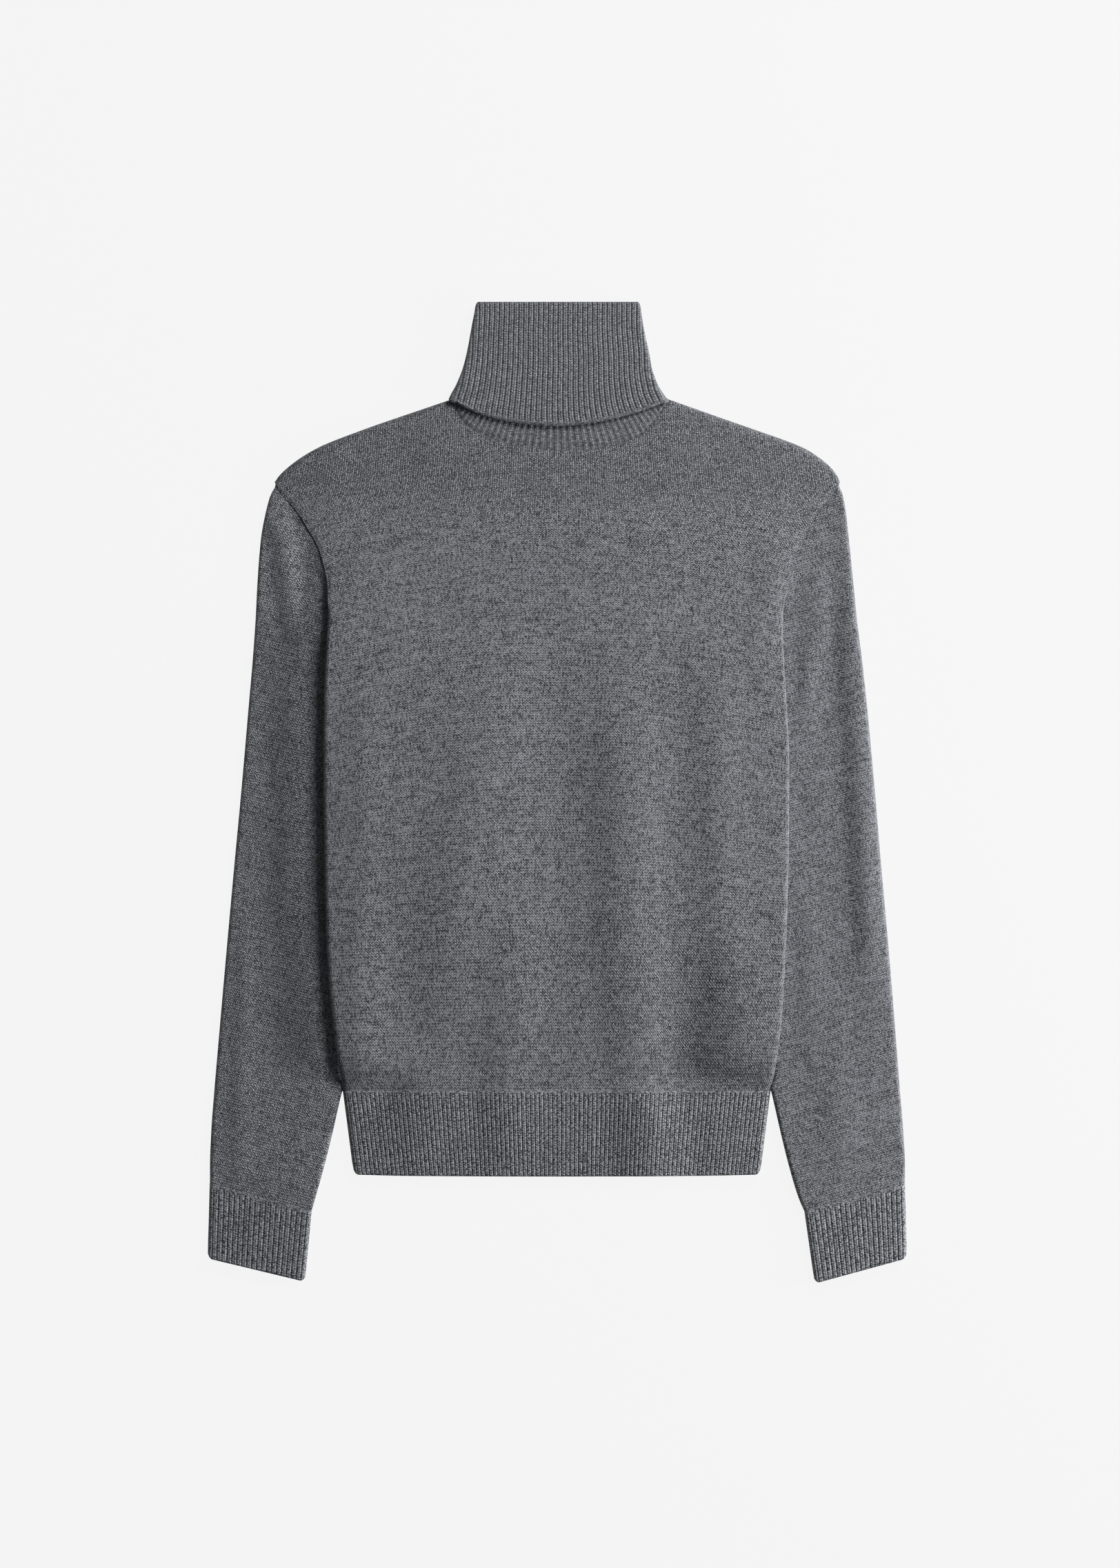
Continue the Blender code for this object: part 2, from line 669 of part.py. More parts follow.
def band(name, ribs, top, bottom):
    """A hem or cuff: a ribbed tube between two edges, each a function of the share across."""
    half = BAND_THICK / 2.0
    ribbed, plain = ring_stops(ribs), ring_stops(0)
    cloth = Cloth()

    def row(step):
        """The row's line with its ends moved in by half the band's thickness."""
        ends = [mix(top(q), bottom(q), step) for q in (0.0, 1.0)]
        trim = half / math.dist(*ends)
        return lambda q: mix(top(lerp(trim, 1.0 - trim, q)), bottom(lerp(trim, 1.0 - trim, q)), step)

    def rounded(points, step):
        """The last row is drawn up at the band's two corners."""
        if step < 1.0:
            return points
        start, end = bottom(0.0), bottom(1.0)
        up = top(0.5)[0] - bottom(0.5)[0], top(0.5)[1] - bottom(0.5)[1]
        size = math.hypot(*up)
        moved = []
        for x, y, z in points:
            near = min(math.dist((x, y), start), math.dist((x, y), end))
            inside = max(CORNER - near, 0.0)
            pull = (CORNER - math.sqrt(max(CORNER * CORNER - inside * inside, 0.0))) * CORNER_PULL
            moved.append((x + up[0] / size * pull, y + up[1] / size * pull, z))
        return moved

    def rings(stops, out):
        made = []
        for step in BAND_STEPS:
            line = row(step)
            made.append(cloth.ring(rounded(ring_points(stops, line, line, half, out), step)))
        for one, two in zip(made, made[1:]):
            cloth.strip(one, two, closed=True)
        return made

    outer = rings(ribbed, half)
    inner = rings(plain, half - RIB_WALL)
    runs = [[stop[0] for stop in stops] for stops in (ribbed, plain)]
    for end in (0, -1):
        cloth.close(outer[end], runs[0], inner[end], runs[1])
    return cloth.make(name)


def hem_rib():
    top = (BODY.read("left", "y", HEM_TOP), HEM_TOP - SEAM_GAP / 2)
    end = (BODY.read("right", "y", HEM_TOP), HEM_TOP - SEAM_GAP / 2)
    lower = Curve(HEM_BOTTOM)
    return band("hem_rib", HEM_RIBS, lambda q: mix(top, end, q), lower.at)


def cuff(side):
    edges = CUFF_EDGES[side]
    lines = {}
    for key, shift in (("top", -SEAM_GAP - 0.2), ("bottom", 0.0)):
        start, end = edges[key]
        if side == "right":
            start, end = end, start
        lines[key] = ((start[0], start[1] + shift), (end[0], end[1] + shift))
    return band("cuff_" + side, CUFF_RIBS,
                lambda q: mix(*lines["top"], q), lambda q: mix(*lines["bottom"], q))


# ---- collar ----------------------------------------------------------------------------------
def collar():
    """Stand and turn-down as one wall that is folded over at the top, round the whole neck."""
    stand_in = SEAM_GAP / 2
    stand_out = stand_in + RIB_WALL
    turn_in = stand_out + LAYER_GAP
    turn_out = turn_in + RIB_WALL
    fold = (stand_out + turn_in) / 2.0
    fold_radius = turn_out - fold
    fold_y = COLLAR_TOP - fold_radius - RIB_RISE
    corner_y = COLLAR_SIDES.columns["y"][-1]
    necklines = {"face": Curve(FRONT_NECKLINE), "below": Curve(BACK_NECKLINE)}
    edges = {"face": TURN_DOWN_FRONT, "below": TURN_DOWN_BACK}

    def core(y, share):
        left = COLLAR_SIDES.read("left", "y", y) + turn_out
        right = COLLAR_SIDES.read("right", "y", y) - turn_out
        return lerp(left, right, share)

    def turn_down(layer, step, extra=0.0):
        """A level of the turn-down: step 0 is at the fold and 1 at its lower edge."""
        def at(share):
            x = core(lerp(fold_y, corner_y, step), share)
            ends = [COLLAR_SIDES.columns[name][-1] for name in ("left", "right")]
            lower = edges[layer].read("y", "x", lerp(*ends, share))
            return x, lerp(fold_y, lower, step) + extra
        return at

    def stand(layer, step):
        """A level of the stand: 0 at the fold, 1 at the foot of the turn-down, 2 at the neckline."""
        def at(share):
            y = lerp(fold_y, corner_y, min(step, 1.0))
            point = core(y, share), y
            if step <= 1.0:
                return point
            x, y = necklines[layer].at(share)
            inward = (0.5 - share) * 2.0 * (stand_out + 0.4)
            return mix(point, (x + inward, y + SEAM_GAP / 2 + 0.3), step - 1.0)
        return at

    def both(shape, *args):
        return shape("face", *args), shape("below", *args)

    ribbed, plain = ring_stops(COLLAR_RIBS), ring_stops(0)
    rows = []

    def add(stops, lines, out):
        rows.append((stops, ring_points(stops, lines[0], lines[1], COLLAR_MIDDLE, out)))

    def add_fold(stops, radius, angles):
        """Levels round the fold at the top, where the angle is 0 at the turn-down."""
        for angle in angles:
            rise = math.sin(math.radians(angle)) * radius
            add(stops, both(turn_down, 0.0, rise), fold + math.cos(math.radians(angle)) * radius)

    for step in (2.0, 1.1):
        add(ribbed, both(stand, step), stand_out)
    for step in (1.0, 0.5):
        add(plain, both(stand, step), stand_out)
    add_fold(plain, fold - stand_out, (180.0, 90.0, 0.0))
    for step in (0.5, 0.9):
        add(plain, both(turn_down, step), turn_in)
    for step, out in ((1.0, turn_in + 0.4), (1.0, turn_out - 0.5), (0.97, turn_out)):
        add(ribbed, both(turn_down, step), out)
    for step in (0.75, 0.4):
        add(ribbed, both(turn_down, step), turn_out)
    add_fold(ribbed, fold_radius, (0.0, 50.0, 90.0, 135.0))
    for step in (0.15, 0.6, 1.0, 1.5, 2.0):
        add(plain, both(stand, step), stand_in)

    cloth = Cloth()
    lines = [(stops, cloth.ring(points)) for stops, points in rows]
    for k, (stops, line) in enumerate(lines):
        next_stops, next_line = lines[(k + 1) % len(lines)]
        if len(line) == len(next_line):
            cloth.strip(line, next_line, closed=True)
        else:
            cloth.close(line, [s[0] for s in stops], next_line, [s[0] for s in next_stops])
    return cloth.make("collar")


def main():
    for old in list(bpy.data.objects):
        bpy.data.objects.remove(old, do_unlink=True)
    body_panel("back", BACK_NECKLINE, front=False)
    body_panel("front", FRONT_NECKLINE, front=True)
    for side in ("left", "right"):
        sleeve("sleeve_" + side, side)
        cuff(side)
    hem_rib()
    collar()


main()
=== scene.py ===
"""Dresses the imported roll-neck sweater in fine knitted shells and sets up the stage round it.

The sweater lies flat on its back: +X across the chest, +Y from hem to collar, +Z up. The shapes are
worked out in millimetres and become metres where a mesh is made.
"""

import math

import bmesh
import bpy
import numpy as np
from bpy.props import FloatProperty, FloatVectorProperty, PointerProperty
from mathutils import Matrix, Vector


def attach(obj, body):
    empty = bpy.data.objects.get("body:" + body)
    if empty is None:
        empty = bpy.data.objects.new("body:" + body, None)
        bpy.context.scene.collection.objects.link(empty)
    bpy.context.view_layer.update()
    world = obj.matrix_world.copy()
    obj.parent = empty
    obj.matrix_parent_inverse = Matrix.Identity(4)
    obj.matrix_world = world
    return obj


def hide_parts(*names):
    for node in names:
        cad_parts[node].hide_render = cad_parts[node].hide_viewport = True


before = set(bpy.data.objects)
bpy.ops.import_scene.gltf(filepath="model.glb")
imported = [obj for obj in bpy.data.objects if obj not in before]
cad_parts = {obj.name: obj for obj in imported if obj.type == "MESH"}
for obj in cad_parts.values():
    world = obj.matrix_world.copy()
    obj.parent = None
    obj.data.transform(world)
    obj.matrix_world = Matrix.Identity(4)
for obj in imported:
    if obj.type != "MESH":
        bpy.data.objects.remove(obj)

bl_info = {
    "name": "Roll-neck sweater",
    "version": (1, 0, 0),
    "blender": (4, 5, 0),
    "location": "3D View > Sidebar > Sweater",
    "description": "Knits the panels, sleeves, ribs and collar of a sweater that lies flat",
    "category": "Object",
}

MM = 0.001
BODY = "root"
TURN = {"left": -1.0, "right": 1.0}     # the side of the body that each name stands for

# ---- walls and seams ----
PLAIN_WALL = 2.4        # plain knit
RIB_WALL = 2.6          # ribbed knit
LAYER_GAP = 0.3         # between two layers that lie on each other
SEAM_LAP = 0.02         # how far a piece reaches over the line of a seam
LOFT = 2.2              # air that stays between front and back
NECK_LOFT = 0.4         # the same beside the collar
SIDE_ROLL = 4.8         # how far in from the body's sides the knit is rounded
TOP_ROLL = 3.6          # the same at the shoulders
SLEEVE_ROLL = 3.0       # and at a sleeve's edges
LIFT_START = 18.0       # how far in from a side edge the body begins to come down off the sleeve
LIFT_RAMP = 70.0        # how far it then takes to reach the floor
FRONT_RAMP = 200.0      # the same for the front panel, which is held up by air
FRONT_CROWN = 5.2       # how much higher the middle of the front is held than it would sag
SEAM_STEP = {"left": 1.4, "right": 0.5}     # how far a sleeve lies below the body at its seam
SEAM_SINK = {"left": 0.8, "right": 1.7}     # how much farther where the body is lifted
SEAM_FALL = {"left": (17.0, 12.0), "right": (15.0, 9.0)}    # its slope's width, top and underarm
FALL_ACROSS = (0.15, 0.75)      # from where on the seam that width changes, and over how much
TIP_STEP = 0.7          # what a sleeve's step is at the shoulder tip
STEP_DOWN = 45.0        # how far down from the tip it reaches its full size
SINK_LIFT = 3.0         # the lift at which a sleeve has sunk by all of SEAM_SINK
STEP_BELOW = 0.6        # how much of the step its underside takes, too
SEAM_THICK = 5.0        # the least thickness of a sleeve at its seam
TUCKED_THICK = 0.8      # and under the body
SEAM_DIP = 0.6          # how far the body is drawn in along an armhole seam
SEAM_REACH = 2.2        # how wide its slope is
SEAM_UNEVEN = (0.7, 0.5)        # the mean and the range of how much its stitches draw it in
SEAM_WAVES = (0.31, 0.127)      # how fast that changes along the seam, radians a millimetre

# ---- outline ----
HEM_TOP = -254.0
UNDERARM = 155.0
SHOULDER_TIP = 263.4
BODY_WIDTH = 400.0
BODY_LENGTH = 540.0
NECK_LEFT = (-91.6, 333.2)
NECK_RIGHT = (96.2, 333.2)
NECK_MIDDLE = 2.0
CHEST_HALF = 196.0

# Where a form begins and over how much it comes in. It fades out where the second is below zero.
CROWN_IN = (20.0, 170.0)        # the front's crown, in from the body's sides
HELD_UP = (-252.0, 170.0)       # what air holds up, from the hem rib upwards
HELD_TOP = (215.0, -90.0)       # and its end below the shoulders
NECK_UP = (264.0, 26.0)         # the rise to the collar, up from the chest
NECK_OUT = (140.0, -38.0)       # and out from the neck's middle
FOLD_UP = (UNDERARM + 6.0, -12.0)       # the side fold, up past the underarm
TROUGHS_IN = (30.0, 30.0)       # the back's troughs, in from the body's sides
FOLDS_OUT = (5.0, 14.0)         # a sleeve's ridges, out from the body's edge
HOLD_IN = (3.0, -3.0)           # what the seam holds up of a sleeve, in from the body's edge
TUCKED_IN = (0.0, 2.0)          # its place under the body, in from the body's edge
TUCKED_UP = (HEM_TOP, 20.0)     # the same, above the hem rib
SWING_UP = (HEM_TOP, 40.0)      # the full swing of SLEEVE_ACROSS, above the hem rib


def lerp(a, b, t):
    return a + (b - a) * t


def eased(t):
    t = np.clip(t, 0.0, 1.0)
    return t * t * (3.0 - 2.0 * t)


def ramp(value, start, over):
    """0 up to start and 1 from start + over. Where over is below zero it falls to 0 at start."""
    return eased((value - start) / over)


def wave(turns):
    return 0.5 + 0.5 * np.cos(2.0 * np.pi * turns)


def rounding(distance, radius):
    """How far a rounded corner falls back at a distance in from its side."""
    near = np.clip(radius - distance, 0.0, radius)
    return radius - np.sqrt(radius ** 2 - near ** 2)


def add_object(name, data):
    """Puts a mesh, a light or a camera into the scene."""
    made = bpy.data.objects.new(name, data)
    bpy.context.scene.collection.objects.link(made)
    return made


class Table:
    """Rows of sizes with named columns, read by the first one on a smooth curve."""

    def __init__(self, columns, rows):
        values = np.array(rows, float)
        if values[0, 0] > values[-1, 0]:
            values = values[::-1]
        self.columns = dict(zip(columns.split(), values.T))
        self.stops = values[:, 0]

    def read(self, name, at):
        xs, ys = self.stops, self.columns[name]
        slopes = np.diff(ys) / np.diff(xs)
        before, after = slopes[:-1], slopes[1:]
        same = before * after > 0.0
        total = np.where(same, before + after, 1.0)
        inner = np.where(same, 2.0 * before * after / total, 0.0)
        tangents = np.concatenate([slopes[:1], inner, slopes[-1:]])
        at = np.clip(at, xs[0], xs[-1])
        k = np.clip(np.searchsorted(xs, at, side="right") - 1, 0, len(xs) - 2)
        step = xs[k + 1] - xs[k]
        t = (at - xs[k]) / step
        start, end, rise = tangents[k] * step, tangents[k + 1] * step, ys[k + 1] - ys[k]
        return ys[k] + t * (start + t * (3 * rise - 2 * start - end + t * (start + end - 2 * rise)))


class Curve:
    """A smooth plane curve through points, read by its share of length."""

    STEPS = 16

    def __init__(self, points):
        points = np.array(points, float)
        ends = 2 * points[0] - points[1], 2 * points[-1] - points[-2]
        p = np.vstack([ends[0], points, ends[1]])
        t = np.linspace(0.0, 1.0, self.STEPS, endpoint=False)[:, None]
        dense = [0.5 * (2 * b + (c - a) * t + (2 * a - 5 * b + 4 * c - d) * t ** 2
                        + (3 * b - a - 3 * c + d) * t ** 3)
                 for a, b, c, d in zip(p, p[1:], p[2:], p[3:])]
        self.points = np.vstack(dense + [points[-1:]])
        steps = np.linalg.norm(np.diff(self.points, axis=0), axis=1)
        self.along = np.concatenate([[0.0], np.cumsum(steps)])
        self.length = self.along[-1]

    def at(self, share):
        target = np.clip(share, 0.0, 1.0) * self.length
        return tuple(np.interp(target, self.along, self.points[:, k]) for k in range(2))


def patch(u, v, low, high, left, right):
    """A point between four edges: u runs from left to right and v from low to high.

    low and high give their point at a share of their width, and left and right are points at v.
    """
    lows, highs = ([edge(share) for share in (u, 0.0, 1.0)] for edge in (low, high))
    point = []
    for k in range(2):
        between, at_left, at_right = (lerp(a[k], b[k], v) for a, b in zip(lows, highs))
        point.append(between + (1.0 - u) * (left[k] - at_left) + u * (right[k] - at_right))
    return point


# A row for each level of the body, from the hem rib to the shoulder tips. left and right are the
# folded side edges, and above the underarm the armhole seams. lift is how high the back panel is
# carried by the sleeve that is tucked under it, and tuck how far in that sleeve reaches.
BODY_TABLE = Table("y left right lift tuck", (
    (-254, -182.2, 181.1, 0, 0),
    (-245, -183.9, 183.3, 2.4, 0),
    (-235, -185.6, 185.1, 6.4, 0),
    (-222, -187.5, 187.1, 8.6, 8),
    (-200, -190.3, 189.9, 8.6, 22),
    (-150, -194.9, 193.3, 8.6, 46),
    (-90, -197.2, 195.6, 8.6, 62),
    (-30, -198.2, 196.8, 8.6, 72),
    (30, -198.7, 196.8, 8.6, 74),
    (80, -198.2, 194.4, 8.6, 60),
    (110, -197, 192.6, 8.6, 34),
    (128, -196, 191.8, 8.2, 22),
    (141, -195.2, 191.7, 6.7, 13),
    (148, -194.8, 191.9, 5.8, 7),
    (155, -194.6, 192.2, 4.9, 0),
    (170, -194.8, 193.9, 3.4, 0),
    (184, -196.4, 196.9, 2, 0),
    (207, -202.8, 204.5, 0.5, 0),
    (223, -211.5, 212.7, 0, 0),
    (238.5, -221.4, 222.2, 0, 0),
    (254, -234.6, 234.8, 0, 0),
    (263.4, -240.4, 240.4, 0, 0),
))

# A row for each level of a sleeve. outer and inner are the distances of its edges from the middle.
SLEEVE_OUTER = Table("y left right", (
    (263.4, -239.4, 239.2), (260.4, -239.7, 239.6), (257, -241.6, 241.2), (251, -244.4, 243.2),
    (234, -248.8, 246), (215.9, -252, 247.9), (180.8, -254.9, 251.4), (145.6, -256.7, 254.9),
    (110.5, -259.2, 259.3), (75.3, -262.3, 263.1), (5, -268.4, 269.6), (-65.3, -275, 275.6),
    (-135.7, -281.4, 281.9), (-206, -287.6, 287.6), (-255.2, -291.8, 291.4),
    (-290.4, -294.4, 294.3), (-318.5, -295.4, 295.7), (-340, -295.4, 295.4),
))
SLEEVE_INNER = Table("y left right", (
    (-254, -182.7, 181.7), (-262.2, -184.8, 183.6), (-290.4, -191.2, 190),
    (-318.5, -198.2, 197), (-345, -205.6, 205), (-358, -209.4, 210.6),
))

# A row for each cross section of a sleeve below its mouth: the levels of its two ends and its
# height off the surface.
SLEEVE_SECTIONS = Table("section outer_y inner_y thick", (
    (0, 166, 141, 7.8), (1, 148, 127, 7.9), (2, 127, 108, 8), (3, 100, 80, 8), (4, 58, 34, 8),
    (5, 10, -16, 8), (6, -42, -70, 8), (7, -94, -122, 8), (8, -142, -168, 8),
    (9, -182, -204, 8), (10, -204, -224, 8), (11, -222, -241, 8), (12, -244, -262, 8),
    (13, -288, -308, 8), (14, -333, -356.2, 7.2),
))

SLEEVE_END = 15.0       # the stop of the last section: the mouth takes the first, from 0 to 1

# How much higher a sleeve lies at a distance out from the body's edge.
SLEEVE_ACROSS = Table("out left right", (
    (-40, 0, -0.6), (-6, -2.2, -0.8), (4, -2.8, -0.6), (22, -2.8, -0.2),
    (40, -2.8, 0.5), (56, -2.8, 1.4), (72, -2.7, 2.3), (110, -2.9, 3),
))

# ---- soft folds ----
# Each row is one soft ridge, or a trough where rise is below zero: where it is at its lower and
# upper end, its height and its half width.
RIDGE = "x_low y_low x_high y_high rise half"
RIDGE_PAST = 0.25       # how far past its ends a ridge fades out, as a share of its length
RIDGE_FADE = 0.4        # and over how much
FRONT_RIDGES = Table(RIDGE, (
    (-168, -300, -164, 70, 1.2, 28),
    (-118, -300, -56, 70, 2.4, 50),
    (-44, -300, -40, -110, 1.6, 34),
    (8, -200, 0, 30, -1.1, 44),
    (66, -250, 54, 60, 2.2, 36),
    (106, -260, 100, 80, -1.4, 34),
    (150, -180, 132, 110, 1, 28),
    (80, -350, 78, -262, 2.9, 42),
    (172, 110, 186, 215, 0.9, 20),
    (-252, 190, -246, 285, -1.8, 64),
    (-20, -300, -20, -70, 1.8, 170),
))
BACK_TROUGHS = Table(RIDGE, (
    (-110, -230, -96, 90, 1.1, 30),
    (12, -240, 30, 40, 1.2, 38),
    (96, -220, 84, 160, 0.9, 26),
    (-40, 20, -66, 210, 0.8, 34),
    (60, 60, 140, 230, 0.7, 28),
))
SLEEVE_RIDGES = {
    "left": Table(RIDGE, (
        (-222, 130, -236, 228, 2, 16),
        (-228, -110, -226, 85, 2.2, 20),
        (-206, -240, -210, -150, 1.8, 34),
        (-270, -320, -265, -140, 1, 15),
    )),
    "right": Table(RIDGE, (
        (266, -130, 246, 200, 2.1, 18),
        (240, -310, 236, -190, 1, 20),
        (216, -230, 214, -100, 1.1, 20),
        (208, 60, 226, 185, 1.3, 20),
    )),
}

# ---- shoulders and neckline ----
SHOULDER_LEFT = (
    (-240.4, 263.4), (-235.6, 269.9), (-228, 276.9), (-218.6, 283.9), (-206.9, 290.9),
    (-191.6, 298), (-154.1, 312), (-112.5, 326.1), NECK_LEFT)
SHOULDER_RIGHT = (
    NECK_RIGHT, (112.5, 327.4), (155.3, 312.4), (195.1, 298.4), (211.5, 291.4), (222.7, 284.2),
    (231.5, 276.9), (237.3, 269.9), (240.4, 263.4))
FRONT_NECKLINE = (
    NECK_LEFT, (-77.9, 310.9), (-54.5, 299.2), (-29.3, 293.3), (3, 289.8), (29.3, 290.4),
    (54.5, 295.6), (76.8, 307.4), NECK_RIGHT)
BACK_NECKLINE = (
    NECK_LEFT, (-80, 330.2), (-50, 327), (2, 325.4), (54, 327), (84, 330.2), NECK_RIGHT)

# ---- collar ----
COLLAR_TOP = 417.0
COLLAR_MIDDLE = 5.65    # height of the middle of its four layers
COLLAR_SIDES = Table("y left right", (
    (417, -69.2, 70.4), (408, -70.3, 71.3), (396.4, -72.5, 73), (375.3, -76.6, 77.8),
    (361.3, -80.2, 80.4), (347.2, -85.4, 85.3), (340.2, -89, 89.4), (334.6, -91.6, 93.6),
))
COLLAR_CORNER = 2.4
COLLAR_CORNER_DOWN = 16.0       # how far down from the top its corners' rounding tells
COLLAR_SQUARE = 4.5     # how tight its side folds are curved
COLLAR_EDGE = 311.0     # the level of the turn-down's edge, about its middle
STAND_TAPER = 9.0       # how much the stand narrows at each side, from the neckline to the foot
FOOT_RISE = 1.8         # how much higher the turn-down's edge is at its side folds
TURN_DOWN_OFF = 1.0     # how far the turn-down's lower edge stands off the stand
COLLAR_FOOT = 334.6
STAND_DEPTH = 44.8      # from the foot to the neckline, at the middle of the face
STAND_THIN = (0.8, 7.0)         # how much thinner the stand is at the neckline, and how far up
NECK_SPREAD = 0.15      # how much closer its ribs stand at the middle of the neckline
COLLAR_RIBS = (36, 4)
FOLD_RIBS = -2.5        # how many more ribs the face shows at each side at the top fold
NECK_RIBS = 2.0         # and at the neckline
NECK_NARROW = 0.3       # the last share of the stand over which its sides draw in
BARE_RELIEF = 0.05      # below this share of its ribs' height the wall itself is thinner, too
OFF_FROM = (0.55, 0.45) # where down the turn-down it begins to stand off, and over how much
# The holes get painted shade in the collar's colour.
HOLE = (0.56, 0.1)      # where the neckline draws a rib in, from its middle, and half its width
TURN_DOWN = {
    "face": Table("x y", (
        (-91.2, 333.6), (-85.6, 330.2), (-82.6, 328.3), (-66.2, 320.8), (-46.3, 315.6),
        (-21.1, 311.9), (0, 310.9), (21.1, 312.2), (46.3, 316.7), (68, 322.6), (82.6, 327.6),
        (89.8, 330.8), (95.4, 333.6),
    )),
    "below": Table("x y", (
        (-91.2, 334.6), (-85.6, 332.6), (-66, 326.4), (-34, 321.2), (2, 319.6),
        (38, 321.2), (70, 326.4), (89.8, 332.6), (95.4, 334.6),
    )),
}

# ---- hem rib and cuffs ----
BAND_THICK = 7.0
CORNER = 4.6
CORNER_UP = 12.0        # how far up from the edge the corners' rounding tells
BAND_LIP = 0.9          # radius of the free edge
HEM_RIBS = (94, 3)      # on the face, and round a side fold
CUFF_RIBS = (18, 3)
HEM_START = (0.8, 1.3)      # how far below the join the ribs begin
CUFF_START = (0.8, 4.2)
START_WAVES = (2.4, 0.7)    # how fast that changes from rib to rib, radians
RIB_START = 1.8         # over how much a rib then comes up
RIB_END = 1.2           # and how far before the free edge it goes down
HEM_BOTTOM = ((-172.9, -325.4), (-120.0, -326.5), (0.0, -327.0), (120.0, -326.4),
              (172.3, -325.4))
CUFF_EDGES = {
    "left": {"top": ((-295.4, -333.0), (-209.0, -356.2)),
             "bottom": ((-297.2, -396.6), (-214.8, -416.4))},
    "right": {"top": ((210.2, -356.2), (295.4, -333.0)),
              "bottom": ((219.0, -418.0), (297.1, -396.6))},
}

# ---- stitches ----
# Distance between two wales of the front at each level, and between two courses.
WALES = Table("y pitch", (
    (-254, 2.03), (-206, 2.05), (-147, 2.19), (-30, 2.3), (87, 2.45), (204, 2.76), (262, 3.12),
    (333, 3.22),
))
COURSES = Table("y pitch", (
    (-254, 2.5), (-147, 2.6), (-30, 2.25), (87, 2.1), (204, 1.95), (333, 1.9),
))
COURSE_ARCH = Table("y rise", (
    (-254, 0), (-150, 5), (-30, 16), (87, 22), (204, 20), (333, 14),
))
COURSE_LEVELS = (-330.0, 360.0, 400)    # the lowest and highest that are counted, and the steps
MIDDLE_WALE = 0.6
# Where the columns stand apart the plain knit's colour is also darker, as painted shade.
SPREAD_UP = (205.0, 60.0)   # where the columns of the front show more than its rows
SIDE_HEIGHT = 14.0      # the face's height at the sides, from which its wales go round them
SHOULDER_HEIGHT = 8.0   # and at the shoulders, for its courses
SHOULDER_LEVEL = 330.0
SLEEVE_WALE = 2.4
SLEEVE_COURSE = 2.1
SLEEVE_SLOPE = 15.0     # angle of a sleeve's courses from the chest line, degrees
RIB_COURSE = 2.1
COLLAR_COURSE = 2.2
STAND_COURSE = 100.0    # number of the stand's first course, far from the turn-down's
STAND_LEG = 0.46        # how much of a rib's pitch its two legs take on the stand
RIB_LEG = 0.8           # the same on the hem and the cuffs
COLLAR_LEG = 0.78       # and on the turn-down
RIB_SLANT = 0.55        # how far a leg of a rib's stitch rises from the rib's middle, in courses
RIB_SLOPE = (-0.12, 0.26)   # where a rib begins to fall, past its leg, and over how much
LEG_EDGE = 0.74         # height of a leg's edges, where the rib's is 1
LEG_GAP = 0.3           # how much of a leg's own height is left between two stitches
PURL = 0.16             # height of the stitches in a groove
SIDE_RIBS = 0.3         # how much of a rib's height is left at a side fold
HEM_STOPS = (0.0, 0.1, 0.22, 0.5, 0.78, 0.9)        # where a rib of the hem or a cuff gets points
COLLAR_STOPS = (0.0, 0.11, 0.22, 0.36, 0.5, 0.64, 0.78, 0.89)

# ---- how fine the meshes are ----
# A row for the outside and one for the inside: the wall, then columns, rows and steps round an
# edge. A sleeve has its rows at the mouth before those below it.
PANEL_GRIDS = ((0.0, 200, 220, 8), (PLAIN_WALL, 40, 44, 3))
SLEEVE_GRIDS = ((0.0, 64, 24, 230, 7), (PLAIN_WALL, 14, 5, 40, 3))
ROWS_A_COURSE = 3       # of ribbed knit


# ---- heights ----
def ridges(table, x, y):
    """Height that a table of soft ridges adds at a point."""
    total = 0.0
    for x_low, y_low, x_high, y_high, rise, half in zip(*table.columns.values()):
        along = (y - y_low) / (y_high - y_low)
        across = eased(1.0 - abs(x - lerp(x_low, x_high, along)) / half)
        fade = ramp(along, -RIDGE_PAST, RIDGE_FADE) * ramp(along, 1.0 + RIDGE_PAST, -RIDGE_FADE)
        total = total + rise * across * fade
    return total


def near_neck(x, y):
    """How far the panels have come up to meet the collar, from 0 to 1."""
    return ramp(y, *NECK_UP) * ramp(abs(x - NECK_MIDDLE), *NECK_OUT)


def from_edge(x, y):
    """Distance in from the body's nearer side edge."""
    return np.minimum(x - BODY_TABLE.read("left", y), BODY_TABLE.read("right", y) - x)


def lift(x, y, over=LIFT_RAMP):
    """Height of the back panel's underside."""
    level = BODY_TABLE.read("lift", y)
    side = level * eased(1.0 - (from_edge(x, y) - LIFT_START) / over)
    neck = (COLLAR_MIDDLE - RIB_WALL - LAYER_GAP / 2) * near_neck(x, y)
    return np.maximum(side, neck)


def front_top(x, y):
    """Height of the front panel's face."""
    neck = near_neck(x, y)
    air = lerp(LOFT, NECK_LOFT, neck) + ridges(FRONT_RIDGES, x, y) * (1.0 - neck)
    low = lift(x, y)
    crown = FRONT_CROWN * ramp(from_edge(x, y), *CROWN_IN)
    held = (np.maximum(lift(x, y, FRONT_RAMP) - low, 0.0) + crown) * ramp(y, *HELD_UP)
    return low + held * ramp(y, *HELD_TOP) + 2.0 * PLAIN_WALL + LAYER_GAP + air


def fold_level(x, y):
    """Height of the side and shoulder seams, half way up the two panels."""
    return (lift(x, y) + front_top(x, y)) / 2.0


def dip(distance, y):
    """How far the knit is drawn in at a distance from an armhole seam: more at some stitches."""
    (mean, swing), (fast, slow) = SEAM_UNEVEN, SEAM_WAVES
    uneven = mean + swing * np.sin(fast * y) * np.sin(slow * y + 1.0)
    return SEAM_DIP * uneven * np.exp(-(distance / SEAM_REACH) ** 2)


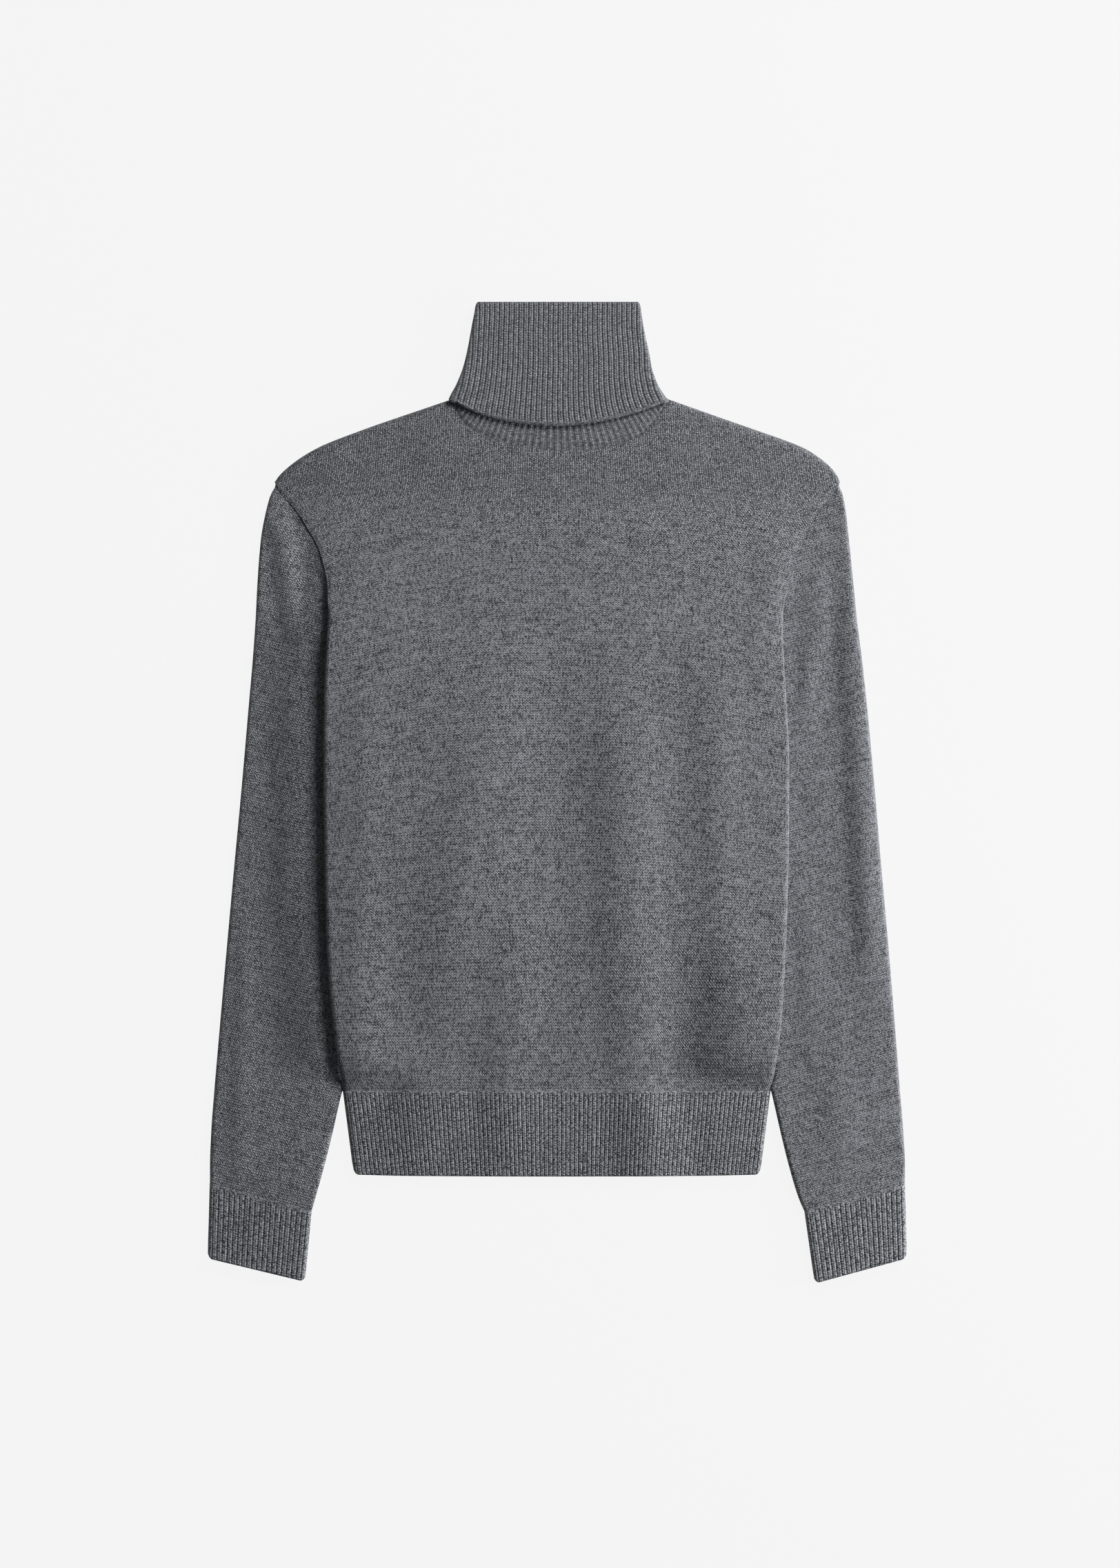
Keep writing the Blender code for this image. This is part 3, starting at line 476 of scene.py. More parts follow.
# ---- meshes ----
class Shell:
    """Collects grids of points of one knitted piece.

    Each point has its wale, its course and its relief: how far columns or ribs stand apart there.
    """

    def __init__(self):
        self.points, self.stitches, self.faces, self.rims, self.count = [], [], [], [], 0

    def grid(self, x, y, z, wale, course, relief, closed=False):
        """Adds a grid of rows and columns and returns the numbers of its points."""
        values = np.broadcast_arrays(x, y, z, wale, course, relief)
        flat = np.stack([value.reshape(-1) for value in values], axis=1)
        self.points.append(flat[:, :3])
        self.stitches.append(flat[:, 3:])
        index = np.arange(self.count, self.count + len(flat)).reshape(values[0].shape)
        self.count += len(flat)
        line = np.concatenate([index, index[:, :1]], axis=1) if closed else index
        quads = np.stack([line[:-1, :-1], line[:-1, 1:], line[1:, 1:], line[1:, :-1]], axis=-1)
        self.faces += quads.reshape(-1, 4).tolist()
        return index

    def ring(self, lines):
        """Adds a closed grid whose rows are the lines' x, y, z, wale, course and relief."""
        return self.grid(*(np.array(column) for column in zip(*lines)), closed=True)

    def rim(self, one, two, closed=False):
        """Joins two lines of points, which may differ in number, with triangles."""
        one, two = list(one), list(two)
        if closed:
            one, two = one + one[:1], two + two[:1]
        for line in (one, two):
            self.rims += [sorted((int(a), int(b))) for a, b in zip(line, line[1:])]
        steps = [(k / (len(line) - 1), which)
                 for which, line in enumerate((one, two)) for k in range(1, len(line))]
        at = [0, 0]
        for _, which in sorted(steps):
            first, last = int(one[at[0]]), int(two[at[1]])
            at[which] += 1
            self.faces.append((first, int((one, two)[which][at[which]]), last))

    def close(self, outer, inner, closed=False):
        """Joins the first and the last rows of a shell's outside and inside."""
        for end in (0, -1):
            self.rim(outer[end], inner[end], closed)

    def make(self, name, material):
        points = np.concatenate(self.points)
        points[:, 2] = np.maximum(points[:, 2], 0.0)
        mesh = bpy.data.meshes.new(name)
        mesh.from_pydata((points * MM).tolist(), [], self.faces)
        work = bmesh.new()
        work.from_mesh(mesh)
        bmesh.ops.recalc_face_normals(work, faces=work.faces[:])
        work.to_mesh(mesh)
        work.free()
        stitch = mesh.attributes.new("stitch", "FLOAT_VECTOR", "POINT")
        stitch.data.foreach_set("vector", np.concatenate(self.stitches).reshape(-1))
        mesh.shade_smooth()
        ends = np.empty(2 * len(mesh.edges), int)
        mesh.edges.foreach_get("vertices", ends)
        ends = np.sort(ends.reshape(-1, 2), axis=1) @ (self.count, 1)
        sharp = mesh.attributes.new("sharp_edge", "BOOLEAN", "EDGE")
        sharp.data.foreach_set("value", np.isin(ends, np.array(self.rims) @ (self.count, 1)))
        mesh.materials.append(material)
        return add_object(name, mesh)


# ---- body ----
def side_point(side, y, out=0.0):
    """A point of a body panel's side or armhole edge, moved out from the panel."""
    turn = TURN[side]
    slope = (BODY_TABLE.read(side, y + 1.0) - BODY_TABLE.read(side, y - 1.0)) / 2.0
    size = np.hypot(1.0, slope)
    return BODY_TABLE.read(side, y) + turn * out / size, y - turn * slope * out / size


class Panel:
    """Front or back: a patch between its sides, the hem and the shoulders with the neckline."""

    SHOULDER_SHARE = 0.3        # of the columns' width, taken by one shoulder
    LAP_IN = 4.0                # how far in from the neckline's ends its seam laps
    ROUND_IN = 6.0              # and the shoulders' rounding ends

    def __init__(self, neckline):
        self.parts = Curve(SHOULDER_LEFT), Curve(neckline), Curve(SHOULDER_RIGHT)
        self.bottom = [float(side_point(side, HEM_TOP, SEAM_LAP)[0])
                       for side in TURN]

    def top(self, u):
        """Point of the upper edge, and its rounding over: 1 at a shoulder, 0 at the neck."""
        left, neck, right = self.parts
        one = self.SHOULDER_SHARE
        share = np.clip((u - one) / (1.0 - 2.0 * one), 0.0, 1.0)
        side = np.minimum(share, 1.0 - share) * neck.length
        spots = [curve.at(at) for curve, at in
                 ((left, u / one), (neck, share), (right, (u - 1.0 + one) / one))]
        x, y = (np.where(u < one, spots[0][k], np.where(u > 1.0 - one, spots[2][k], spots[1][k]))
                for k in range(2))
        return x, y + SEAM_LAP * eased(side / self.LAP_IN), 1.0 - eased(side / self.ROUND_IN)

    def at(self, u, v):
        """Point of the panel: u runs from left to right and v from the hem to the shoulders."""
        level = lerp(HEM_TOP, SHOULDER_TIP, v)
        left, right = (side_point(side, level, SEAM_LAP) for side in TURN)
        return patch(u, v, lambda share: (lerp(*self.bottom, share), HEM_TOP - SEAM_LAP),
                     self.top, left, right)


def rolled(count, steps, size, wall, roll):
    """Stops from 0 to 1 with rounded ends: where each is, and the sine of its angle there."""
    angles = np.linspace(0.0, np.pi / 2, steps, endpoint=False)
    edge = (roll * (1.0 - np.cos(angles)) + wall * np.cos(angles)) / size
    middle = lerp(roll / size, 1.0 - roll / size, np.linspace(0.0, 1.0, count))
    stops = np.concatenate([edge, middle, 1.0 - edge[..., ::-1]], axis=-1)
    sines = np.concatenate([np.sin(angles), np.ones(count), np.sin(angles)[::-1]])
    return stops, sines


def knit_lines(x, y, z):
    """Wale, course and relief of a point of the front or back. z carries them round the edges."""
    arch = COURSE_ARCH.read("rise", y) * (x / CHEST_HALF) ** 2
    levels = np.linspace(*COURSE_LEVELS)
    counted = np.cumsum(1.0 / COURSES.read("pitch", levels)) * (levels[1] - levels[0])
    round_x = x - x / CHEST_HALF * (z - SIDE_HEIGHT)
    round_y = y + arch - np.clip(y, 0.0, None) / SHOULDER_LEVEL * (z - SHOULDER_HEIGHT)
    return ((round_x - MIDDLE_WALE) / WALES.read("pitch", y), np.interp(round_y, levels, counted),
            ramp(y, *SPREAD_UP))


def body_panel(name, neckline, front, material):
    """A panel as a thin shell with a fine face and a coarse inside."""
    panel = Panel(neckline)
    shell = Shell()
    made = []
    for wall, columns, rows, steps in PANEL_GRIDS:
        u, side_sine = rolled(columns, steps, BODY_WIDTH, wall, SIDE_ROLL)
        v, top_sine = rolled(rows, steps, BODY_LENGTH, wall, TOP_ROLL)
        v, top_sine = v[steps:], top_sine[steps:]
        v[0] = 0.0
        u, v = np.meshgrid(u, v)
        x, y = panel.at(u, v)
        fold = ramp(y, *FOLD_UP)
        over = panel.top(u)[2]
        share = (1.0 - fold * (1.0 - side_sine)) * (1.0 - over * (1.0 - top_sine[:, None]))
        middle = fold_level(x, y)
        if front:
            seam = dip(from_edge(x, y), y) * (1.0 - fold)
            z = middle + (front_top(x, y) - wall - seam - middle) * share
        else:
            trough = ridges(BACK_TROUGHS, x, y) * ramp(from_edge(x, y), *TROUGHS_IN)
            z = middle - (middle - lift(x, y) - (wall or trough)) * share
        made.append(shell.grid(x, y, z, *knit_lines(x, y, z)))
    outer, inner = made
    shell.close(outer, inner)
    shell.close(outer.T, inner.T)
    return shell.make(name, material)


# ---- sleeves ----
def sleeve_inner(side, y):
    """The sleeve's inner edge: beside the body, under it or, below the hem, on its own."""
    turn = TURN[side]
    beside = BODY_TABLE.read(side, y) - turn * (BODY_TABLE.read("tuck", y) + SEAM_LAP)
    return np.where(y < HEM_TOP, SLEEVE_INNER.read(side, y), beside)


def sleeve_points(side, q, j):
    """Points of a sleeve's flat outline, and the points of its seam above them.

    q runs across it from its outer edge, and j down it, from 0 to 1 at its mouth.
    """
    def mouth(share):
        return side_point(side, lerp(SHOULDER_TIP, UNDERARM, share), -SEAM_LAP)

    def edges(levels):
        outer_y, inner_y = levels
        return (SLEEVE_OUTER.read(side, outer_y), outer_y), (sleeve_inner(side, inner_y), inner_y)

    levels = [SLEEVE_SECTIONS.read(name, j - 1.0) for name in ("outer_y", "inner_y")]
    outer, inner = edges(levels)
    t = np.clip(j, 0.0, 1.0)
    sides = edges([lerp(start, level, t) for start, level in zip((SHOULDER_TIP, UNDERARM), levels)])
    x, y = patch(q, t, mouth, lambda share: [lerp(a, b, share) for a, b in zip(outer, inner)],
                 *sides)
    return x, y, mouth(q)


def sleeve_heights(side, q, j, x, y, start):
    """Heights of a sleeve's underside and face. start is the point of the seam above each point."""
    carried = lift(*start)
    inward = from_edge(x, y)
    out = abs(x) - abs(BODY_TABLE.read(side, y))
    fall = lerp(*SEAM_FALL[side], ramp(q, *FALL_ACROSS))
    hold = ramp(np.hypot(x - start[0], y - start[1]), fall, -fall) * ramp(inward, *HOLD_IN)
    folds = ridges(SLEEVE_RIDGES[side], x, y) * np.where(y < HEM_TOP, 1.0, ramp(out, *FOLDS_OUT))
    swing = lerp(0.5, 1.0, ramp(y, *SWING_UP)) * ramp(j, SLEEVE_END, -1.5)
    plain = SLEEVE_SECTIONS.read("thick", j - 1.0) + SLEEVE_ACROSS.read(side, out) * swing
    step = lerp(TIP_STEP, SEAM_STEP[side], ramp(start[1], SHOULDER_TIP, -STEP_DOWN))
    step = step + SEAM_SINK[side] * eased(carried / SINK_LIFT)
    low = hold * np.maximum(carried - STEP_BELOW * step, 0.0)
    held = np.maximum(front_top(*start) - step, low + SEAM_THICK)
    high = lerp(plain, held, hold) + folds
    tucked = ramp(inward, *TUCKED_IN) * ramp(y, *TUCKED_UP) * (1.0 - hold)
    under = np.minimum(high, np.maximum(lift(x, y) - LAYER_GAP, TUCKED_THICK))
    return low, lerp(high, under, tucked)


def sleeve(name, side, material):
    """A sleeve as a flattened tube with a fine outside and a coarse inside."""
    turn = TURN[side]
    slope = math.radians(turn * SLEEVE_SLOPE)
    cosine, sine = math.cos(slope), math.sin(slope)
    shell = Shell()
    tubes = []
    for wall, columns, mouth_rows, rows, steps in SLEEVE_GRIDS:
        j = np.concatenate([np.linspace(0.0, 1.0, mouth_rows, endpoint=False),
                            np.linspace(1.0, SLEEVE_END, rows)])[:, None]
        ends = (sleeve_points(side, q, j)[:2] for q in (0.0, 1.0))
        span = np.hypot(*(a - b for a, b in zip(*ends)))
        q, up = rolled(columns, steps, span, wall, SLEEVE_ROLL)
        x, y, start = sleeve_points(side, q, j)
        low, high = sleeve_heights(side, q, j, x, y, start)
        centre = (low + high) / 2.0
        top = centre + (high - wall - centre) * up
        bottom = np.maximum(centre - (centre - low - wall) * up, 0.0)
        x, y, z = (np.concatenate([face, under[:, -2:0:-1]], axis=1)
                   for face, under in ((x, x), (y, y), (top, bottom)))
        round_x = x - turn * z
        wale = (round_x * cosine + y * sine) / SLEEVE_WALE
        course = (y * cosine - round_x * sine) / SLEEVE_COURSE
        tubes.append(shell.grid(x, y, z, wale, course, 0.0, closed=True))
    shell.close(*tubes, closed=True)
    return shell.make(name, material)


# ---- ribbed rings ----
class Ribbing:
    """Ribs round a flattened ring, counted from the left end of its face."""

    def __init__(self, face, fold, stops, coarse=3):
        """stops are the places across each rib of the face that get a point."""
        self.face, self.fold = face, fold
        self.total = 2 * (face + fold)

        def fine(first, count):
            return (np.arange(first, first + count)[:, None] + np.array(stops)).reshape(-1)

        self.runs = np.concatenate([fine(0, face + fold),
                                    face + fold + np.arange(0, face * coarse) / coarse,
                                    fine(2 * face + fold, fold)])

    def place(self, extra=0.0):
        """Share across and angle at each run. extra ribs are drawn onto the face at each side."""
        stops = np.cumsum([0.0, self.face + 2 * extra, self.fold, self.face - 2 * extra, self.fold])
        run = (self.runs + extra) % self.total
        share = np.interp(run, stops, [0.0, 1.0, 1.0, 0.0, 0.0])
        return share, np.radians(np.interp(run, stops, [90.0, 90.0, -90.0, -90.0, -270.0]))


def rib_relief(run, course, leg_share):
    """Height of ribbed knit from 0 in a groove to 1 on a stitch: two legs on each rib."""
    side = abs(2.0 * (run % 1.0) - 1.0)
    leg = np.clip(side / leg_share, 0.0, 1.0)
    body = 1.0 - ramp(side - leg_share, *RIB_SLOPE)
    stroke = wave(course - RIB_SLANT * leg)
    bulge = np.sin(np.pi * np.clip(leg, 0.1, 0.9)) * lerp(LEG_GAP, 1.0, stroke)
    return body * lerp(LEG_EDGE, 1.0, bulge) + (1.0 - body) * PURL * wave(2.0 * course)


def over_sides(angle):
    """How much of the ribs' height is left at an angle round a flattened ring."""
    return lerp(SIDE_RIBS, 1.0, abs(np.sin(angle)))


def straight(ends):
    """The straight edge between two points, as a function of the share across."""
    return lambda share: [lerp(a, b, share) for a, b in zip(*ends)]


def ring_line(share, angle, face, below, middle, out, width=1.0, square=2.0):
    """Points of a ring at the distance out from the middle level.

    width scales how far it reaches to its sides, and a square above 2 makes their curve tighter.
    """
    ends = [face(np.array(q)) for q in (0.0, 1.0)]
    across = np.array([float(ends[1][k] - ends[0][k]) for k in range(2)])
    across = across / np.hypot(*across)
    cosine, sine = np.cos(angle), np.sin(angle)
    out = out / (abs(cosine) ** square + abs(sine) ** square) ** (1.0 / square)
    spots = [lerp(b, a, (1.0 + sine) / 2.0) for a, b in zip(face(share), below(share))]
    side = cosine * out * width
    return spots[0] + across[0] * side, spots[1] + across[1] * side, middle + sine * out


def band(name, ribbing, top, bottom, rise, start, material, soft=None):
    """A hem or cuff: a ribbed tube between two edges, each a function of the share across.

    start is how far below the join its ribs begin, from the nearest to the farthest, and soft a
    table of the ridges that run through it.
    """
    half = BAND_THICK / 2.0
    ends = [[float(c) for c in edge(np.array(0.5))] for edge in (top, bottom)]
    depth = math.dist(*ends)
    shell = Shell()

    def line(step):
        """A level of the band, 0 at the join and 1 at the free edge, and its two ends."""
        left, right = ([lerp(float(a), float(b), step) for a, b in zip(top(q), bottom(q))]
                       for q in (np.array(0.0), np.array(1.0)))
        trim = half / math.dist(left, right)

        def at(q):
            share = lerp(trim, 1.0 - trim, q)
            return [lerp(a, b, step) for a, b in zip(top(share), bottom(share))]
        return at, left, right

    def rows(levels, out, relief):
        """Adds the levels at their distances out. relief is how much of the ribs shows."""
        share, angle = ribbing.place()
        number = np.floor(ribbing.runs)
        fast, slow = START_WAVES
        first = lerp(*start, 0.5 + 0.5 * np.sin(fast * number) * np.cos(slow * number))
        lines = []
        for step, reach in zip(levels, out):
            down, up = step * depth, (1.0 - step) * depth
            course = down / RIB_COURSE
            height = rib_relief(ribbing.runs, -course, RIB_LEG)
            fade = relief * eased(up / RIB_END) * eased((down - first) / RIB_START)
            fade = fade * over_sides(angle)
            shaped = reach + rise * ((height - 1.0) * fade + (1.0 + np.sin(angle)) / 2.0)
            at, left, right = line(step)
            x, y, z = ring_line(share, angle, at, at, half, shaped)
            inset = np.minimum(*(np.hypot(x - end[0], y - end[1]) for end in (left, right)))
            pull = rounding(inset, CORNER) * ramp(up, CORNER_UP, -CORNER_UP) / depth
            x, y = (value + pull * (ends[0][k] - ends[1][k]) for k, value in enumerate((x, y)))
            if soft:
                z = z + ridges(soft, x, y) * np.maximum(np.sin(angle), 0.0)
            lines.append((x, y, z, ribbing.runs, np.full(share.shape, -course), fade))
        return shell.ring(lines)

    levels = np.linspace(0.0, 1.0, int(depth / RIB_COURSE * ROWS_A_COURSE))
    lip = rounding((1.0 - levels) * depth, BAND_LIP)
    outer = rows(levels, half - lip, 1.0)
    inner = rows(np.linspace(0.0, 1.0, 8), np.full(8, half - RIB_WALL), 0.0)
    shell.close(outer, inner, closed=True)
    return shell.make(name, material)


# ---- collar ----
def collar(material, rise):
    """Stand and turn-down as one wall that is folded over at the top, round the whole neck."""
    stand_in = LAYER_GAP / 2
    stand_out = stand_in + RIB_WALL
    turn_in = stand_out + LAYER_GAP
    turn_out = turn_in + RIB_WALL
    fold = (stand_out + turn_in) / 2.0
    fold_radius = turn_out - fold
    fold_y = COLLAR_TOP - fold_radius - rise
    necklines = {"face": Curve(FRONT_NECKLINE), "below": Curve(BACK_NECKLINE)}
    turn_depth = fold_y - COLLAR_EDGE
    ribbing = Ribbing(*COLLAR_RIBS, COLLAR_STOPS)
    shell = Shell()

    def core(y, share, taper=0.0):
        left = COLLAR_SIDES.read("left", y) + turn_out + taper
        right = COLLAR_SIDES.read("right", y) - turn_out - taper
        return lerp(left, right, share)

    def turn_down(layer, step, extra=0.0):
        """A level of the turn-down: step 0 is at the fold and 1 at its lower edge."""
        def at(share):
            x = core(lerp(fold_y, COLLAR_FOOT, step), share)
            lower = TURN_DOWN[layer].read("y", core(COLLAR_FOOT, share))
            return x, lerp(fold_y, lower, step) + extra
        return at

    def stand(layer, step):
        """A level of the stand: 0 at the fold, 1 at its foot and 2 at the neckline."""
        def at(share):
            y = lerp(fold_y, COLLAR_FOOT, min(step, 1.0))
            x = core(y, share, STAND_TAPER * min(step, 1.0))
            if step <= 1.0:
                return x, y + 0.0 * share
            spread = NECK_SPREAD * np.sin(2.0 * np.pi * share) / (2.0 * np.pi)
            seam_x, seam_y = necklines[layer].at(share - spread)
            return lerp(x, seam_x, step - 1.0), lerp(y, seam_y, step - 1.0)
        return at

    lines = []

    def add(shape, step, out, course, relief, leg_share=COLLAR_LEG, extra_y=0.0, drawn=0.0):
        """One level. relief is how much of the ribs shows there; drawn marks holes at a seam,
        which the rib knit fills with painted shade.
        """
        args = (step, extra_y) if extra_y else (step,)
        extra = lerp(FOLD_RIBS, 0.0, step) if step <= 1.0 else NECK_RIBS * (step - 1.0)
        share, angle = ribbing.place(extra)
        if shape is stand and step > 1.0:
            reach = (a - b for a, b in zip(stand("face", 1.0)(share), stand("face", 2.0)(share)))
            course = STAND_COURSE + (2.0 - step) * np.hypot(*reach) / COLLAR_COURSE
        height = rib_relief(ribbing.runs, course, leg_share)
        upper = (1.0 + np.sin(angle)) / 2.0 * min(relief / BARE_RELIEF, 1.0)
        fade = relief * over_sides(angle)
        shaped = out + rise * ((height - 1.0) * fade + upper)
        x, y, z = ring_line(share, angle, shape("face", *args), shape("below", *args),
                            COLLAR_MIDDLE, shaped, eased((2.0 - step) / NECK_NARROW), COLLAR_SQUARE)
        if shape is turn_down:
            y = y + FOOT_RISE * (1.0 - abs(np.sin(angle))) * step ** 4
        inset = np.minimum(x - COLLAR_SIDES.read("left", y), COLLAR_SIDES.read("right", y) - x)
        near_top = ramp(COLLAR_TOP - y, COLLAR_CORNER_DOWN, -COLLAR_CORNER_DOWN)
        y = y - rounding(inset, COLLAR_CORNER) * near_top
        # These marks go into the relief, where the rib knit paints the holes dark as shade.
        hole = drawn * (abs(abs(2.0 * (ribbing.runs % 1.0) - 1.0) - HOLE[0]) < HOLE[1])
        lines.append((x, y, z, ribbing.runs, course + 0.0 * share, fade + hole))

    def turn(degrees):
        return math.cos(math.radians(degrees)), math.sin(math.radians(degrees))

    def stand_off(step):
        return TURN_DOWN_OFF * ramp(step, *OFF_FROM)

    # The face of the stand, up from the neckline and on to the fold.
    depths = np.concatenate([[0.0, 0.35, 0.8, 1.3, 1.8],
                             np.arange(2.5, 26.0, COLLAR_COURSE / ROWS_A_COURSE),
                             [36.0, STAND_DEPTH]])
    for depth in depths:
        thinner, up_to = STAND_THIN
        out = stand_out - thinner * ramp(depth, up_to, -up_to)
        add(stand, 2.0 - depth / STAND_DEPTH, out, 0.0, 0.75 * ramp(depth, -0.4, 2.0),
            leg_share=STAND_LEG, drawn=3.0 * eased(1.0 - abs(depth - 0.8) / 1.1))
    for step in (0.75, 0.4, 0.1):
        add(stand, step, stand_out, 0.0, 0.0)
    # Round the inside of the fold and down the turn-down's inside.
    for cosine, sine in map(turn, (150.0, 90.0, 30.0)):
        radius = fold - stand_out
        add(turn_down, 0.0, fold + cosine * radius, 0.0, 0.0, extra_y=sine * radius)
    for step in (0.1, 0.4, 0.7, 0.85, 0.96):
        add(turn_down, step, turn_in + stand_off(step), 0.0, 0.0)
    # Round its edge, up its face and over the fold.
    for cosine, sine in map(turn, np.linspace(-90.0, 90.0, 8)):
        step = 1.0 - 1.3 * (1.0 - cosine) / turn_depth
        add(turn_down, step, lerp(turn_in, turn_out, (1.0 + sine) / 2.0) - 0.1 + stand_off(step),
            -turn_depth / COLLAR_COURSE, 0.03)
    for step in np.linspace(1.0 - 1.6 / turn_depth, 0.0,
                            int(turn_depth / COLLAR_COURSE * ROWS_A_COURSE)):
        add(turn_down, step, turn_out + stand_off(step), -step * turn_depth / COLLAR_COURSE,
            lerp(0.05, 1.0, ramp((1.0 - step) * turn_depth, 1.5, 2.6)))
    for degrees in np.linspace(0.0, 180.0, 12)[1:]:
        cosine, sine = turn(degrees)
        add(turn_down, 0.0, fold + cosine * fold_radius,
            math.radians(degrees) * fold_radius / COLLAR_COURSE, max(cosine, 0.0) * 0.5 + 0.5,
            extra_y=sine * fold_radius)
    # Down the inside of the stand.
    for step in (0.2, 0.7, 1.0, 1.5, 2.0):
        add(stand, step, stand_in, 0.0, 0.0)
    index = shell.ring(lines)
    shell.rim(index[-1], index[0], closed=True)
    return shell.make("collar_knit", material)


# ---- materials ----
class Value:
    """A number in a material: Python's operators on it add Math nodes."""

    def __init__(self, graph, socket):
        self.graph, self.socket = graph, socket

    def math(self, operation, *others):
        node = self.graph.node("ShaderNodeMath", {"operation": operation},
                               dict(enumerate((self,) + others)))
        return Value(self.graph, node.outputs[0])

    def __add__(self, other):
        return self.math("ADD", other)

    def __sub__(self, other):
        return self.math("SUBTRACT", other)

    def __mul__(self, other):
        return self.math("MULTIPLY", other)

    def __truediv__(self, other):
        return self.math("DIVIDE", other)

    def __pow__(self, other):
        return self.math("POWER", other)

    def __rsub__(self, other):
        return self.math("MULTIPLY", -1.0).math("ADD", other)

    def __abs__(self):
        return self.math("ABSOLUTE")

    __radd__, __rmul__ = __add__, __mul__

    def fract(self):
        return self.math("FRACT")

    def floor(self):
        return self.math("FLOOR")

    def wave(self):
        """Rises and falls from 1 to 0 and back as the value grows by 1."""
        return (self * (2.0 * math.pi)).math("COSINE") * 0.5 + 0.5

    def smooth(self, low, high):
        """0 below low, 1 above high and eased between them."""
        node = self.graph.node("ShaderNodeMapRange", {"interpolation_type": "SMOOTHSTEP"},
                               {"Value": self, "From Min": low, "From Max": high})
        return Value(self.graph, node.outputs["Result"])


class Graph:
    """The nodes of one material."""

    def __init__(self, name):
        self.material = bpy.data.materials.new(name)
        self.material.use_nodes = True
        self.tree = self.material.node_tree
        self.shader = self.tree.nodes["Principled BSDF"]

    def feed(self, socket, value):
        if isinstance(value, Value):
            value = value.socket
        if isinstance(value, bpy.types.NodeSocket):
            self.tree.links.new(value, socket)
        else:
            socket.default_value = value

    def node(self, kind, settings=None, inputs=None):
        made = self.tree.nodes.new(kind)
        for key, value in (settings or {}).items():
            setattr(made, key, value)
        for key, value in (inputs or {}).items():
            self.feed(made.inputs[key], value)
        return made

    def shade(self, inputs):
        """Sets sockets of the shader and returns the material."""
        for key, value in inputs.items():
            self.feed(self.shader.inputs[key], value)
        return self.material

    def stitch(self):
        """Wale, course and relief of the point that is shaded."""
        read = self.node("ShaderNodeAttribute", {"attribute_name": "stitch"})
        parts = self.node("ShaderNodeSeparateXYZ", None, {"Vector": read.outputs["Vector"]})
        return [Value(self, parts.outputs[axis]) for axis in "XYZ"]

    def vector(self, x, y, z=0.0):
        return self.node("ShaderNodeCombineXYZ", None, {"X": x, "Y": y, "Z": z}).outputs[0]

    def noise(self, vector, detail=1.0, roughness=0.6, scale=1.0):
        made = self.node("ShaderNodeTexNoise", {"noise_dimensions": "3D"},
                         {"Vector": vector, "Scale": scale, "Detail": detail,
                          "Roughness": roughness})
        return Value(self, made.outputs["Fac"])

    def random(self, vector):
        made = self.node("ShaderNodeTexWhiteNoise", {"noise_dimensions": "3D"}, {"Vector": vector})
        return Value(self, made.outputs["Value"])

    def mix(self, share, one, two):
        made = self.node("ShaderNodeMix", {"data_type": "RGBA"})
        for number, value in ((0, share), (6, one), (7, two)):
            self.feed(made.inputs[number], value)
        return made.outputs[2]


def melange(graph, wale, course, leg, speckle, each, patches):
    """Share of light fibre in the yarn. It is squared, so that dark and light look alike in size.

    leg is the number and row of a stitch's leg, each how much one leg differs from the next and
    patches how much groups of stitches differ.
    """
    number, row = leg
    # Patches of a few stitches, the yarn of each row, its single fibres and the finest specks.
    cloud = graph.noise(graph.vector(wale * 0.2, course * 0.3), 3.0, 0.8)
    yarn = graph.noise(graph.vector(wale * 0.4, row * 7.0 + 0.5, 5.5))
    fibre = graph.noise(graph.vector(wale * 2.3, course * 1.9, 3.0))
    grain = graph.random(graph.vector((wale * 2.7).floor(), (course * 2.9).floor(), 1.0))
    one = graph.random(graph.vector(number, row, 7.0))
    other = graph.random(graph.vector(number + 1.0, row, 7.0))
    share = ((cloud + yarn * 2.4 - 1.7) * patches + (fibre - 0.5) * 2.8 + (grain - 0.5) * 1.1
             + (one - other) * each) * speckle * 0.6 + 0.5
    return share.math("MAXIMUM", 0.15) ** 2.0 * 1.9


def wool(graph, yarn, fibre_and_painted_shade, height, depth):
    """Colour from the share of light fibre, darkened by the painted shade in the stitches' gaps,
    and the stitches' height as a bump.
    """
    bump = graph.node("ShaderNodeBump", None,
                      {"Strength": 1.0, "Distance": depth, "Height": height})
    return graph.shade({
        "Base Color": graph.mix(fibre_and_painted_shade, yarn.dark, yarn.light), "Normal": bump.outputs["Normal"],
        "Roughness": 0.92, "Specular IOR Level": 0.2, "Sheen Weight": 0.12, "Sheen Roughness": 0.5})


def wander(graph, wale, course, scale):
    """The small unevenness of real stitches, round 0."""
    return graph.noise(graph.vector(wale * 0.55, course * 0.55, 9.0), 1.0, 0.5, scale) - 0.5


